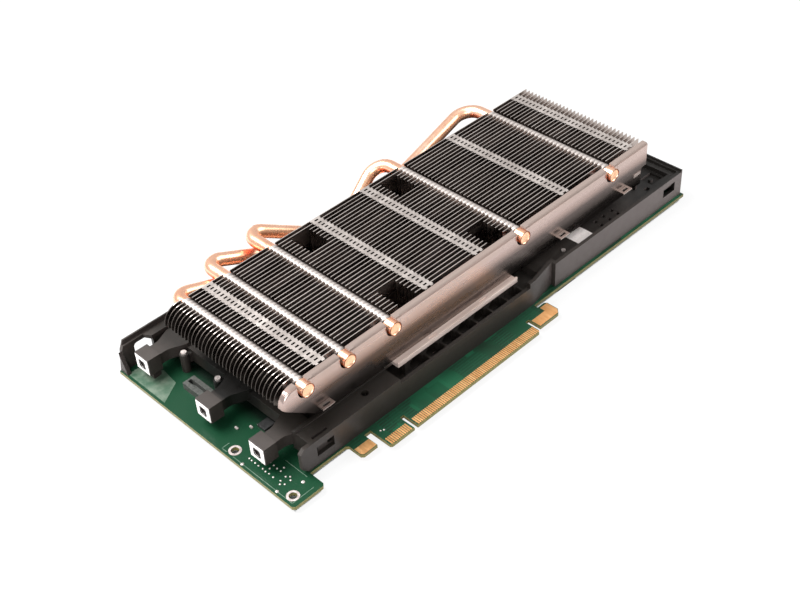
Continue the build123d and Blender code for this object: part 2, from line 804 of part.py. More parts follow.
def back_plate():
    """The steel cross on the solder side that the spring screws pull against."""
    half_x = screw_spacing / 2 + back_plate_margin
    half_y = (screw_y[1] - screw_y[0]) / 2 + back_plate_margin
    plate = block(processor_x - half_x, processor_x + half_x, processor_y - half_y, processor_y + half_y,
                  rest_z, -board_thickness)
    window = back_plate_window / 2
    plate -= block(processor_x - window, processor_x + window, processor_y - window, processor_y + window,
                   rest_z, -board_thickness)
    plate = chamfer(plate.edges().filter_by(Axis.Z), back_plate_corner)
    bite = half_x - back_plate_arm
    for side in (-1, 1):
        y = processor_y + side * half_y
        plate -= block(processor_x - bite, processor_x + bite, y - back_plate_bite, y + back_plate_bite,
                       rest_z, -board_thickness)
    for x, y in screw_places:
        plate -= flat_sided_rod(x, y, spring_screw_radius, rest_z, -board_thickness)
    return plate


def board_screws():
    """Screws from the solder side into the casting's columns, heads flat on the resting plane."""
    screws = []
    for x, y in board_screw_places:
        head = flat_sided_rod(x, y, board_screw_head_radius, rest_z, -board_thickness)
        length = column_height(x) - screw_tip_gap
        screws.append(head + flat_sided_rod(x, y, board_screw_radius, -board_thickness, length))
    return Compound(screws)


def post_screws():
    """Two screws whose bright ends stand out of the round posts near the bracket."""
    screws = []
    for x, y in post_places:
        tip = rod(x, y, post_tip_radius, post_top, post_top + post_tip)
        screws.append(tip + flat_sided_rod(x, y, post_screw_radius, post_top - post_screw_depth, post_top))
    return Compound(screws)


def board_connector():
    """A low connector of two long bars, beside the middle arm."""
    body = centred(connector_x, connector_y, connector_breadth, connector_length, connector_height)
    return body - centred(connector_x, connector_y, connector_slot, connector_length - 2 * connector_end,
                          connector_height, connector_end)


def deck_pin():
    """The small round pin in the raised deck."""
    return rod(*deck_pin_place, deck_pin_radius, high_deck_bottom, high_deck_top + deck_pin_height)


def centred(x, y, length, breadth, height, z=0.0):
    """A plain package, centred on its place on the board."""
    return block(x - length / 2, x + length / 2, y - breadth / 2, y + breadth / 2, z, z + height)


os.makedirs("parts", exist_ok=True)

save(circuit_board(), "circuit_board")
save(edge_contacts(), "edge_contacts")
save(board_pads(), "board_pads")
save(base_frame(), "base_frame")
save(cold_plate(), "cold_plate")
save(fin_stack(), "fin_stack")
save(side_plate(), "side_plate")
for number, route in enumerate(pipe_routes, start=1):
    save(heat_pipe(route), f"heat_pipe_{number}")
    save(pipe_collar(route), f"pipe_collar_{number}")
save(processor(), "processor")
for number, (x, y, turned) in enumerate(memory_places(), start=1):
    length, breadth = (memory_breadth, memory_length) if turned else (memory_length, memory_breadth)
    save(centred(x, y, length, breadth, memory_height), f"memory_chip_{number}")
pad_height = deck_bottom - memory_height
pads = [
    centred(x, y, pad_side, pad_side, pad_height, memory_height) for x, y, turned in memory_places()
]
save(Compound(pads), "thermal_pads")
save(Compound([spring_screw(x, y) for x, y in screw_places]), "spring_screws")
save(Compound([spring(x, y) for x, y in screw_places]), "screw_springs")
save(back_plate(), "back_plate")
save(board_screws(), "board_screws")
save(post_screws(), "post_screws")
save(deck_pin(), "deck_pin")
for i in range(choke_count):
    x = choke_x + i * choke_pitch
    save(centred(x, choke_y, choke_side, choke_side, high_deck_bottom), f"power_choke_{i + 1}")
transistors = [
    centred(choke_x + i * choke_pitch, choke_y - transistor_offset, transistor_breadth,
            transistor_length, transistor_height)
    for i in range(choke_count)
]
save(Compound(transistors), "power_transistors")
for i in range(capacitor_count):
    x = choke_x + i * choke_pitch
    save(centred(x, capacitor_y, capacitor_length, capacitor_breadth, capacitor_height),
         f"bulk_capacitor_{i + 1}")
save(board_connector(), "board_connector")
strip_y = board_edge_y + edge_strip_inset
save(block(*edge_strip_x, strip_y, strip_y + edge_strip_breadth, -board_thickness - edge_strip_height,
           -board_thickness), "edge_component")
save(centred(*label_place, label_side, label_side, label_thickness, high_deck_top), "info_label")
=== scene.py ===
# %% [markdown]
# A server accelerator card lies at a slant on a pale table. The model of the card is already made,
# in one shared frame. This lesson dresses it: it puts the camera where the photographer stood,
# lights the card softly, gives each piece its finish, and models what is too fine for a solid
# model, such as the stamped fins with their tabs, the collars on the pipes and the gold contacts.

# %% Load the card
import json
import math

import bmesh
import bpy
from mathutils import Matrix, Vector


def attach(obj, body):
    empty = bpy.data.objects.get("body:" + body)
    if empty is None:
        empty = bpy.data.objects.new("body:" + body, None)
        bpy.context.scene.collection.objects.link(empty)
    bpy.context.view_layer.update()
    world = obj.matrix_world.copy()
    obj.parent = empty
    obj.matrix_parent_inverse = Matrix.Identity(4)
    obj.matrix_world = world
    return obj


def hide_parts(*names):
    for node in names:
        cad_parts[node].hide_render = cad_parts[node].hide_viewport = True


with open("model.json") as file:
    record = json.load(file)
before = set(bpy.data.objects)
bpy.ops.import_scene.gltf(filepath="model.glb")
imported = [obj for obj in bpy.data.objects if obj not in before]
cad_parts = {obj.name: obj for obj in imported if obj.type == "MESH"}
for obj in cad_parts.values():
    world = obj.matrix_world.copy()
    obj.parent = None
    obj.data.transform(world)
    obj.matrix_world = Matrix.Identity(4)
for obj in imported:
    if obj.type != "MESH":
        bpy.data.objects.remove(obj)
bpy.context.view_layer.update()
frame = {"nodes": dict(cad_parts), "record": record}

nodes = frame["nodes"]

# %% [markdown]
# A card is drawn on its own grid, in millimetres: X runs along the board from the end with the
# bracket, Y runs up from the tips of the gold contacts, and Z rises from the side that carries the
# parts. Every size below is read off that grid, and one small function turns it into the scene's
# metres. That keeps the numbers short, and it keeps each new piece in line with the solids.

# %% Grid
MM = 0.001
GRID_ORIGIN = Vector((-123.825, -55.575, 3.57))


def at(x, y, z):
    """A place on the card's grid, in the scene's metres."""
    return (Vector((x, y, z)) + GRID_ORIGIN) * MM


def on_grid(bm):
    """Moves a mesh that was drawn in millimetres on the grid to its place in the scene."""
    bmesh.ops.translate(bm, vec=GRID_ORIGIN, verts=bm.verts)
    bmesh.ops.scale(bm, vec=(MM, MM, MM), verts=bm.verts)


print("the grid's corner lies at", at(0, 0, 0))

# %% [markdown]
# The camera comes first, because everything after it is judged through it. It looks down at the
# card from the corner with the bracket, about 40 degrees above the table, and leans by 3 degrees.
# A camera could be aimed with a constraint, but three plain directions say exactly how it stands.

# %% Camera
CAMERA_PLACE = (-171.24, -246.40, 348.59)
SENSOR_MM = 36
LENS_MM = 57.15
NEAREST_SEEN = 0.01
FORWARD = Vector((0.51557, 0.56282, -0.64608)).normalized()
UP = Vector((0.48537, 0.42955, 0.76151)).normalized()
RIGHT = FORWARD.cross(UP).normalized()

camera_data = bpy.data.cameras.new("camera")
camera_data.sensor_width = SENSOR_MM
camera_data.lens = LENS_MM
camera_data.clip_start = NEAREST_SEEN
camera = bpy.data.objects.new("camera", camera_data)
bpy.context.scene.collection.objects.link(camera)
turn = Matrix((RIGHT, UP, -FORWARD)).transposed().to_4x4()
camera.matrix_world = Matrix.Translation(at(*CAMERA_PLACE)) @ turn
bpy.context.scene.camera = camera
print("camera", [round(v, 4) for v in camera.location], "lens", camera_data.lens)

# %% [markdown]
# Tables, skies and finishes are all drawn with nodes, and many of them ask where a place lies or
# which way a face looks. These small helpers add one node each and hand on its result. Writing them
# once keeps the node trees below as short to read as a sum.

# %% Node helpers
def both(tree, first, second, operation="MULTIPLY", clamp=False):
    """Two values joined, each a number or a socket: their product, or another operation."""
    node = tree.nodes.new("ShaderNodeMath")
    node.operation = operation
    node.use_clamp = clamp
    for socket, value in zip(node.inputs, (first, second)):
        if isinstance(value, (int, float)):
            socket.default_value = value
        else:
            tree.links.new(value, socket)
    return node.outputs[0]


def compare(tree, value, operation, threshold):
    """1 where a value is above or below a threshold, and 0 elsewhere."""
    return both(tree, value, threshold, operation)


def axes_of(tree, vector):
    """The three parts of a vector."""
    node = tree.nodes.new("ShaderNodeSeparateXYZ")
    tree.links.new(vector, node.inputs[0])
    return node.outputs


def object_place(tree):
    """The place on the object, which a pattern is laid on."""
    return tree.nodes.new("ShaderNodeTexCoord").outputs["Object"]


def face_direction(tree):
    """The way that a face looks, axis by axis."""
    return axes_of(tree, tree.nodes.new("ShaderNodeNewGeometry").outputs["Normal"])


def along(tree, value, low_mm, high_mm, axis, clamp=True):
    """Turns a place along an axis into a share of the way between two marks on the card's grid."""
    node = tree.nodes.new("ShaderNodeMapRange")
    node.clamp = clamp
    node.inputs["From Min"].default_value = (low_mm + GRID_ORIGIN[axis]) * MM
    node.inputs["From Max"].default_value = (high_mm + GRID_ORIGIN[axis]) * MM
    tree.links.new(value, node.inputs["Value"])
    return node.outputs["Result"]


def blend_colours(tree, factor, first, second):
    """A mix of two colours, each a colour or a socket."""
    node = tree.nodes.new("ShaderNodeMix")
    node.data_type = "RGBA"
    for name, colour in (("A", first), ("B", second)):
        socket = [s for s in node.inputs if s.name == name and s.type == "RGBA"][0]
        if isinstance(colour, tuple):
            socket.default_value = (*colour, 1)
        else:
            tree.links.new(colour, socket)
    tree.links.new(factor, node.inputs["Factor"])
    return [s for s in node.outputs if s.type == "RGBA"][0]


print("node helpers ready")

# %% [markdown]
# The photograph has a white ground. White light from all sides would give that, and would also
# wash out the card, so the ground is white only to the camera, half as bright to shiny surfaces,
# and the light that falls on the card stays moderate. The Light Path node tells the rays apart.

# %% Sky
GROUND_WHITE = 1.0
SKY_STRENGTH = 0.34
GLOSS_SHARE = 0.5


def seen_ray(tree):
    """1 for a ray that the camera sends or a glass sends on, a share of it for a gloss, else 0."""
    path = tree.nodes.new("ShaderNodeLightPath").outputs
    gloss = both(tree, path["Is Glossy Ray"], GLOSS_SHARE)
    seen = both(tree, path["Is Camera Ray"], gloss, "MAXIMUM")
    return both(tree, seen, path["Is Transmission Ray"], "MAXIMUM")


def white_sky():
    """White to the camera, and a moderate light on the card."""
    world = bpy.data.worlds.new("sky")
    world.use_nodes = True
    tree = world.node_tree
    tree.nodes.clear()
    lit = tree.nodes.new("ShaderNodeBackground")
    lit.inputs["Strength"].default_value = SKY_STRENGTH
    shown = tree.nodes.new("ShaderNodeBackground")
    shown.inputs["Strength"].default_value = GROUND_WHITE
    for background in (lit, shown):
        background.inputs["Color"].default_value = (1, 1, 1, 1)
    mix = tree.nodes.new("ShaderNodeMixShader")
    output = tree.nodes.new("ShaderNodeOutputWorld")
    tree.links.new(seen_ray(tree), mix.inputs["Fac"])
    tree.links.new(lit.outputs[0], mix.inputs[1])
    tree.links.new(shown.outputs[0], mix.inputs[2])
    tree.links.new(mix.outputs[0], output.inputs["Surface"])
    bpy.context.scene.world = world


white_sky()
print("sky", SKY_STRENGTH, "seen as", GROUND_WHITE)

# %% [markdown]
# The table is a large flat sheet. To the camera it glows nearly white, to shiny surfaces half as
# much, and for all other light it is a matt grey. The small share that doesn't glow still takes
# the card's shadow. Right under the board no light gets in, so the glow is taken away again inside
# two boxes that follow the board's outline.

# %% Table
TABLE_GREY = (0.8, 0.8, 0.8, 1)
TABLE_GLOW = 0.86
TABLE_HALF = 4.0
UNDER_CARD = ((1.2, 246.5, 13.5, 110.0), (1.2, 14.2, 5.4, 13.5))


def inside_box(tree, x0, x1, y0, y1):
    """1 for the places of a flat box on the card's grid, and 0 outside it."""
    share = 1
    for axis, low, high in ((0, x0, x1), (1, y0, y1)):
        value = axes_of(tree, object_place(tree))[axis]
        for operation, limit in (("GREATER_THAN", low), ("LESS_THAN", high)):
            share = both(tree, share, compare(tree, value, operation, (limit + GRID_ORIGIN[axis]) * MM))
    return share


def table_finish():
    """Pale and matt, and nearly white to the camera, except in the dark right under the card."""
    material = bpy.data.materials.new("table")
    material.use_nodes = True
    tree = material.node_tree
    tree.nodes.clear()
    matt = tree.nodes.new("ShaderNodeBsdfDiffuse")
    matt.inputs["Color"].default_value = TABLE_GREY
    glow = tree.nodes.new("ShaderNodeEmission")
    glow.inputs["Strength"].default_value = GROUND_WHITE
    mix = tree.nodes.new("ShaderNodeMixShader")
    output = tree.nodes.new("ShaderNodeOutputMaterial")
    glow_share = both(tree, seen_ray(tree), TABLE_GLOW)
    for box in UNDER_CARD:
        glow_share = both(tree, glow_share, inside_box(tree, *box), "SUBTRACT", clamp=True)
    tree.links.new(glow_share, mix.inputs["Fac"])
    tree.links.new(matt.outputs[0], mix.inputs[1])
    tree.links.new(glow.outputs[0], mix.inputs[2])
    tree.links.new(mix.outputs[0], output.inputs["Surface"])
    return material


bm = bmesh.new()
bmesh.ops.create_grid(bm, x_segments=1, y_segments=1, size=TABLE_HALF)
table_mesh = bpy.data.meshes.new("table")
bm.to_mesh(table_mesh)
bm.free()
table = bpy.data.objects.new("table", table_mesh)
bpy.context.scene.collection.objects.link(table)
table_mesh.materials.append(table_finish())
bpy.context.scene.view_settings.view_transform = "Standard"
print("table", [round(v, 2) for v in table.dimensions])

# %% [markdown]
# Product photographers light such a card with large soft panels. One hangs over its far left
# corner and draws the bright lines along the pipes, and two weaker ones fill in from the front and
# from the right. Area lamps are used, because their size sets how soft a shadow's edge is.

# %% Lamps
LAMPS = (
    ("panel_above", (-160, 330, 620), 480, 11.0),
    ("panel_front", (-420, -320, 330), 420, 2.2),
    ("panel_right", (520, -200, 420), 420, 2.0),
)
CARD_MIDDLE = (124, 56, 15)

aim = at(*CARD_MIDDLE)
for name, place, side, watts in LAMPS:
    lamp_data = bpy.data.lights.new(name, "AREA")
    lamp_data.shape = "SQUARE"
    lamp_data.size = side * MM
    lamp_data.energy = watts
    lamp = bpy.data.objects.new(name, lamp_data)
    bpy.context.scene.collection.objects.link(lamp)
    lamp.location = at(*place)
    lamp.rotation_mode = "QUATERNION"
    lamp.rotation_quaternion = (aim - lamp.location).to_track_quat("-Z", "Y")
print("lamps:", len(LAMPS))

# %% [markdown]
# A real finish is never one flat colour. Coated castings are mottled, rolled sheet has streaks,
# and copper goes from pink to brown. Each material below mixes its shades by a noise that is laid
# on the object's own coordinates, so the pattern stays put from any side. A noise also roughens
# the gloss a little, and a finer one raises a grain.

# %% Patterns
NOISE_LOW, NOISE_HIGH = 0.3, 0.7
NOISE_DETAIL = 4.0


def new_material(name, metallic, roughness):
    """A material with its principled shader; returns the material, its tree and the shader."""
    material = bpy.data.materials.new(name)
    material.use_nodes = True
    tree = material.node_tree
    shader = tree.nodes["Principled BSDF"]
    shader.inputs["Metallic"].default_value = metallic
    shader.inputs["Roughness"].default_value = roughness
    return material, tree, shader


def stretched(tree, stretch):
    """The object's coordinates, drawn out along an axis for streaks and brush marks."""
    mapping = tree.nodes.new("ShaderNodeMapping")
    mapping.inputs["Scale"].default_value = stretch
    tree.links.new(object_place(tree), mapping.inputs["Vector"])
    return mapping.outputs["Vector"]


def noise(tree, scale, stretch=(1, 1, 1)):
    """A cloudy pattern; a larger scale makes it finer."""
    texture = tree.nodes.new("ShaderNodeTexNoise")
    texture.inputs["Scale"].default_value = scale
    texture.inputs["Detail"].default_value = NOISE_DETAIL
    tree.links.new(stretched(tree, stretch), texture.inputs["Vector"])
    return texture.outputs["Fac"]


def ramp(tree, value, stops):
    """Turns a value into a colour by the stops given as (place, colour)."""
    node = tree.nodes.new("ShaderNodeValToRGB")
    elements = node.color_ramp.elements
    while len(elements) < len(stops):
        elements.new(0.5)
    for element, (place, colour) in zip(elements, stops):
        element.position = place
        element.color = (*colour, 1)
    tree.links.new(value, node.inputs["Fac"])
    return node.outputs["Color"]


def spread(tree, value, low, high):
    """Spreads a noise, whose values lie in its middle range, over the range from low to high."""
    node = tree.nodes.new("ShaderNodeMapRange")
    node.inputs["From Min"].default_value = NOISE_LOW
    node.inputs["From Max"].default_value = NOISE_HIGH
    node.inputs["To Min"].default_value = low
    node.inputs["To Max"].default_value = high
    tree.links.new(value, node.inputs["Value"])
    return node.outputs["Result"]


def grain(tree, shader, value, depth_mm, strength=1.0):
    """Raises a fine relief out of a noise."""
    node = tree.nodes.new("ShaderNodeBump")
    node.inputs["Strength"].default_value = strength
    node.inputs["Distance"].default_value = depth_mm * MM
    tree.links.new(value, node.inputs["Height"])
    tree.links.new(node.outputs["Normal"], shader.inputs["Normal"])


print("patterns ready")

# %% [markdown]
# Most finishes need no more than that, so one function makes them: two shades, an uneven gloss and
# a grain. The shades change over at the middle of the noise, where most of its values lie.

# %% A mottled finish
GRAIN_FINENESS = 6


def mottled(name, dark, light, metallic, rough, scale, stretch=(1, 1, 1), depth_mm=0.02):
    """A finish of two shades with a noise between them, uneven gloss and a fine grain."""
    material, tree, shader = new_material(name, metallic, sum(rough) / 2)
    value = noise(tree, scale, stretch)
    tree.links.new(ramp(tree, value, ((0.32, dark), (0.68, light))), shader.inputs["Base Color"])
    tree.links.new(spread(tree, value, *rough), shader.inputs["Roughness"])
    grain(tree, shader, noise(tree, scale * GRAIN_FINENESS, stretch), depth_mm)
    return material


print("a grain is", GRAIN_FINENESS, "times as fine as its mottling")

# %% [markdown]
# The board is glass fibre under a green lacquer. Copper areas under the lacquer show as lighter
# green fields with straight borders, thin conductors run between them, and the sawn edge shows
# the olive fibre. The fields come from a cell texture with square cells, and the edge is told
# from the faces by the way it looks. The green deepens towards the end with the bracket. Beside
# the front arm it is nearly black, a painted shade that also stands in for the dark parts there.

# %% Board lacquer
LACQUER_GLOSS = 0.22
FIELD_SCALE = 120
TRACK_SCALE = 180
DEEPER_X = (45, 15)
SHADE_AND_PARTS_X, SHADE_AND_PARTS_Y = (16, 22), (36, 42)
FACES_UP = 0.9


def lacquer():
    """Green lacquer with fields and tracks on both faces, and bare fibre round the edge."""
    material, tree, shader = new_material("board_lacquer", 0.0, 0.32)
    cells = tree.nodes.new("ShaderNodeTexVoronoi")
    cells.distance = "CHEBYCHEV"
    cells.inputs["Scale"].default_value = FIELD_SCALE
    tree.links.new(stretched(tree, (1, 0.6, 1)), cells.inputs["Vector"])
    field = axes_of(tree, cells.outputs["Color"])[0]
    tracks = tree.nodes.new("ShaderNodeTexBrick")
    tracks.inputs["Scale"].default_value = TRACK_SCALE
    tracks.inputs["Mortar Size"].default_value = 0.05
    tracks.inputs["Brick Width"].default_value = 2.3
    tracks.inputs["Row Height"].default_value = 0.24
    tree.links.new(stretched(tree, (1, 1, 0)), tracks.inputs["Vector"])
    cloudy = both(tree, field, spread(tree, noise(tree, 60), -0.25, 0.25), "ADD")
    green = ramp(tree, cloudy, (
        (0.15, (0.012, 0.036, 0.02)), (0.5, (0.009, 0.058, 0.028)), (0.9, (0.014, 0.096, 0.046))))
    track = both(tree, tracks.outputs["Fac"], compare(tree, field, "LESS_THAN", 0.35))
    green = blend_colours(tree, track, green, (0.012, 0.064, 0.033))
    x, y = axes_of(tree, object_place(tree))[:2]
    green = blend_colours(tree, along(tree, x, *DEEPER_X, 0), green, (0.0065, 0.042, 0.019))
    # Painted shade beside the front arm, which also stands in for the dark parts there.
    painted_shade_and_parts = both(tree, along(tree, x, *SHADE_AND_PARTS_X, 0), along(tree, y, *SHADE_AND_PARTS_Y, 1))
    green = blend_colours(tree, painted_shade_and_parts, green, (0.004, 0.009, 0.006))
    below_top = compare(tree, face_direction(tree)[2], "LESS_THAN", FACES_UP)
    above_bottom = compare(tree, face_direction(tree)[2], "GREATER_THAN", -FACES_UP)
    fibre = ramp(tree, noise(tree, 900, (1, 1, 6)), ((0.35, (0.11, 0.105, 0.03)), (0.7, (0.24, 0.205, 0.08))))
    edge = both(tree, below_top, above_bottom)
    tree.links.new(blend_colours(tree, edge, green, fibre), shader.inputs["Base Color"])
    grain(tree, shader, both(tree, track, field, "ADD"), 0.03, 0.4)
    shader.inputs["Specular IOR Level"].default_value = LACQUER_GLOSS
    return material


finishes = {"board": lacquer()}
print("finishes:", list(finishes))

# %% [markdown]
# The black frame is a coated casting, a warm dark grey. Its light and shade are painted into the
# coat by two ramps along the card: painted light on the front wall, palest towards the right, and
# painted shade on the faces that look up, least on the boss tops. The three faces that the bracket
# is screwed to are left bare, so they shine white. They lie furthest towards the bracket, so their
# place along X picks them out. Behind the middle arm a painted shadow makes the frame darkest.

# %% Casting
BOARD_LENGTH = 247.65
BOSS_FACE_X = 4.3
BARE_DEPTH = 0.12
BARE_FACE_X = (BOSS_FACE_X + BARE_DEPTH + GRID_ORIGIN.x) * MM
BARE_FACE_BACK_Y = (106.0 + GRID_ORIGIN.y) * MM
SHADED_X = (10.5, 13)
SHADED_Y_FRONT, SHADED_Y_BACK = (46, 49), (84, 80)
FACES_FORWARD = -0.5
COAT_GLOSS = 0.3


def casting():
    """Black coat with painted light and shade in two ramps along the card, one for the front wall; the bosses'
    ends are bare.
    """
    material, tree, shader = new_material("black_casting", 0.0, 0.45)
    value = noise(tree, 260)
    x, y = axes_of(tree, object_place(tree))[:2]
    across = both(tree, along(tree, x, 0, BOARD_LENGTH, 0), spread(tree, value, -0.006, 0.006), "ADD")
    # Painted shade on the faces that look up, least on the boss tops.
    flat = ramp(tree, across, (
        (0.035, (0.05, 0.042, 0.038)), (0.08, (0.014, 0.0115, 0.0095)), (0.58, (0.014, 0.0115, 0.0095)),
        (0.64, (0.03, 0.025, 0.022)), (0.88, (0.024, 0.02, 0.018)), (0.94, (0.009, 0.0075, 0.0065))))
    # Painted light on the front wall, palest towards the right.
    wall = ramp(tree, across, (
        (0.1, (0.032, 0.0255, 0.023)), (0.2, (0.021, 0.0175, 0.015)), (0.54, (0.022, 0.0185, 0.016)),
        (0.6, (0.05, 0.041, 0.038)), (0.66, (0.085, 0.07, 0.066)), (1.0, (0.125, 0.101, 0.096))))
    front = compare(tree, face_direction(tree)[1], "LESS_THAN", FACES_FORWARD)
    black = blend_colours(tree, front, flat, wall)
    # A painted shadow behind the middle arm.
    behind_arm = both(tree, along(tree, y, *SHADED_Y_FRONT, 1), along(tree, y, *SHADED_Y_BACK, 1))
    shaded = both(tree, along(tree, x, *SHADED_X, 0), behind_arm)
    black = blend_colours(tree, shaded, black, (0.005, 0.0045, 0.004))
    bare = both(tree, compare(tree, x, "LESS_THAN", BARE_FACE_X),
                compare(tree, y, "LESS_THAN", BARE_FACE_BACK_Y))
    tree.links.new(blend_colours(tree, bare, black, (0.8, 0.76, 0.74)), shader.inputs["Base Color"])
    tree.links.new(spread(tree, value, 0.38, 0.52), shader.inputs["Roughness"])
    shader.inputs["Specular IOR Level"].default_value = COAT_GLOSS
    grain(tree, shader, noise(tree, 1600), 0.03, 0.5)
    return material


finishes["casting"] = casting()
print("finishes:", list(finishes))

# %% [markdown]
# The heat pipes are drawn copper tubes. They are polished, but heat and fingers have toned them, so
# a slow noise mixes three tones. Undersides get a painted deep red reflection of the card and the
# other pipes, and the closed ends, which look forward, get a painted highlight that makes them paler.

# %% Copper
FACES_END = -0.6


def copper():
    """Copper in three tones, with a painted red reflection underneath and a painted highlight on the ends."""
    material, tree, shader = new_material("drawn_copper", 0.9, 0.26)
    slow = noise(tree, 45)
    tone = ramp(tree, slow, ((0.3, (0.84, 0.42, 0.26)), (0.5, (0.93, 0.55, 0.38)), (0.72, (0.97, 0.68, 0.52))))
    ny, nz = face_direction(tree)[1:]
    # Painted reflection: faces that look down turn deep red.
    underside_reflection = ramp(tree, nz, ((0.0, (1, 1, 1)), (0.25, (0, 0, 0))))
    red = blend_colours(tree, underside_reflection, tone, (0.85, 0.2, 0.08))
    # Painted highlight: the closed ends are paler.
    end_highlight = compare(tree, ny, "LESS_THAN", FACES_END)
    tree.links.new(blend_colours(tree, end_highlight, red, (1.0, 0.6, 0.38)), shader.inputs["Base Color"])
    tree.links.new(spread(tree, noise(tree, 420), 0.24, 0.34), shader.inputs["Roughness"])
    grain(tree, shader, noise(tree, 1500), 0.002, 0.5)
    return material


finishes["copper"] = copper()
print("finishes:", list(finishes))

# %% [markdown]
# The fins are rolled aluminium. A fin's broad faces see only their neighbours and get painted shade,
# darker near the rounded left end, and only faces that look straight up get the painted light. A
# lamp's highlight on an edge this thin would spread into a white stripe, so the edges are painted
# dark, and duller still at the stack's rounded left end. Squaring the normal's Y picks out the
# broad faces on both sides at once.

# %% Fin sheet
LEFT_SHADE_X = (14, 42)
LEFT_END_X = (24, 22)
SHEET_STREAKS = (0.12, 1, 1)
LOOKS_UP = 0.97


def fin_sheet():
    """Rolled sheet: painted light where it looks up, painted shade between the fins, darkest on its edges."""
    material, tree, shader = new_material("fin_sheet", 1.0, 0.3)
    value = noise(tree, 240, SHEET_STREAKS)
    # Painted light for faces that look up, and painted shade for the broad faces.
    top = ramp(tree, value, ((0.32, (0.7, 0.62, 0.575)), (0.68, (0.88, 0.8, 0.75))))
    shaded_broad = ramp(tree, value, ((0.32, (0.3, 0.25, 0.225)), (0.68, (0.46, 0.39, 0.355))))
    x = axes_of(tree, object_place(tree))[0]
    # Painted shade on the broad faces near the rounded left end.
    left_shade = along(tree, x, *LEFT_SHADE_X, 0)
    shaded_broad = blend_colours(tree, left_shade, (0.17, 0.145, 0.13), shaded_broad)
    nx, ny, nz = face_direction(tree)
    at_left = along(tree, x, *LEFT_END_X, 0)
    # Painted shade on the edges in place of a lamp's highlight, darker at the left end.
    edge = blend_colours(tree, at_left, (0.11, 0.095, 0.087), (0.07, 0.06, 0.054))
    colour = blend_colours(tree, compare(tree, both(tree, ny, ny), "GREATER_THAN", 0.5), edge, shaded_broad)
    up = compare(tree, nz, "GREATER_THAN", LOOKS_UP)
    tree.links.new(blend_colours(tree, up, colour, top), shader.inputs["Base Color"])
    rounded = both(tree, compare(tree, nx, "LESS_THAN", -0.1), at_left)
    duller = both(tree, rounded, spread(tree, value, 0.2, 0.3))
    tree.links.new(both(tree, spread(tree, value, 0.22, 0.38), duller, "ADD"), shader.inputs["Roughness"])
    grain(tree, shader, noise(tree, 1440, SHEET_STREAKS), 0.02)
    return material


finishes["fin"] = fin_sheet()
print("finishes:", list(finishes))

# %% [markdown]
# The collars that grip the pipes are drawn out of the same sheet. Their crowns get a painted highlight
# and their sides painted shade, and they are dim where one meets the next, which gives the ridges
# their ribs. The joints repeat at the fins' pitch, so the fraction of a place's count of pitches finds them.

# %% Collar sheet
FIRST_FIN_Y = 26.4
FIN_PITCH = 2.1
JOINT_SHARE = 0.38


def collar_sheet():
    """The collars' sheet, whose joints repeat at the fins' pitch."""
    material, tree, shader = new_material("collar_sheet", 0.8, 0.4)
    y = axes_of(tree, object_place(tree))[1]
    pitches = along(tree, y, FIRST_FIN_Y, FIRST_FIN_Y + FIN_PITCH, 1, clamp=False)
    joint = compare(tree, both(tree, pitches, 0, "FRACT"), "LESS_THAN", JOINT_SHARE)
    up = face_direction(tree)[2]
    # Both ramps paint a highlight on the crowns and shade on the sides, by the way a face looks.
    tone = ramp(tree, up, (
        (0.6, (0.14, 0.12, 0.11)), (0.84, (0.3, 0.26, 0.24)), (0.97, (0.66, 0.6, 0.565))))
    dim = ramp(tree, up, (
        (0.6, (0.02, 0.017, 0.015)), (0.86, (0.06, 0.05, 0.045)), (0.98, (0.4, 0.355, 0.335))))
    tree.links.new(blend_colours(tree, joint, tone, dim), shader.inputs["Base Color"])
    tree.links.new(spread(tree, noise(tree, 300), 0.36, 0.46), shader.inputs["Roughness"])
    return material


finishes["collar"] = collar_sheet()
print("finishes:", list(finishes))

# %% [markdown]
# The front sheet is smooth and mirrors what lies before it. A ramp over its height paints that
# reflection for any light: pale near its top, for the table, and dark lower down, for the frame.
# Its crest is dull, and the loops that are folded out of its foot are pale.

# %% Front sheet
LOOP_Y = (21.35 + GRID_ORIGIN.y) * MM
SHEET_Z = (14, 34)
CREST_SHARE = 0.95
FRONT_STREAKS = (0.1, 1, 1)


def front_sheet():
    """The front sheet with a painted reflection by its height; its crest is dull and its folded loops are pale.
    """
    material, tree, shader = new_material("front_sheet", 1.0, 0.26)
    y, z = axes_of(tree, object_place(tree))[1:]
    streaks = noise(tree, 300, FRONT_STREAKS)
    height = along(tree, z, *SHEET_Z, 2)
    # Painted reflection: pale near the top for the table, dark lower down for the frame.
    tone = ramp(tree, both(tree, height, spread(tree, streaks, -0.03, 0.03), "ADD"), (
        (0.1, (0.1, 0.083, 0.075)), (0.35, (0.105, 0.085, 0.077)), (0.5, (0.126, 0.098, 0.09)),
        (0.65, (0.37, 0.275, 0.245)), (0.8, (0.5, 0.385, 0.35)), (0.94, (0.5, 0.39, 0.35)),
        (0.99, (0.4, 0.335, 0.305))))
    loop = compare(tree, y, "LESS_THAN", LOOP_Y)
    tree.links.new(blend_colours(tree, loop, tone, (0.55, 0.46, 0.42)), shader.inputs["Base Color"])
    crest = compare(tree, height, "GREATER_THAN", CREST_SHARE)
    tree.links.new(both(tree, spread(tree, streaks, 0.22, 0.34), crest, "ADD"), shader.inputs["Roughness"])
    grain(tree, shader, noise(tree, 1500, FRONT_STREAKS), 0.01)
    return material


finishes["front_sheet"] = front_sheet()
print("finishes:", list(finishes))
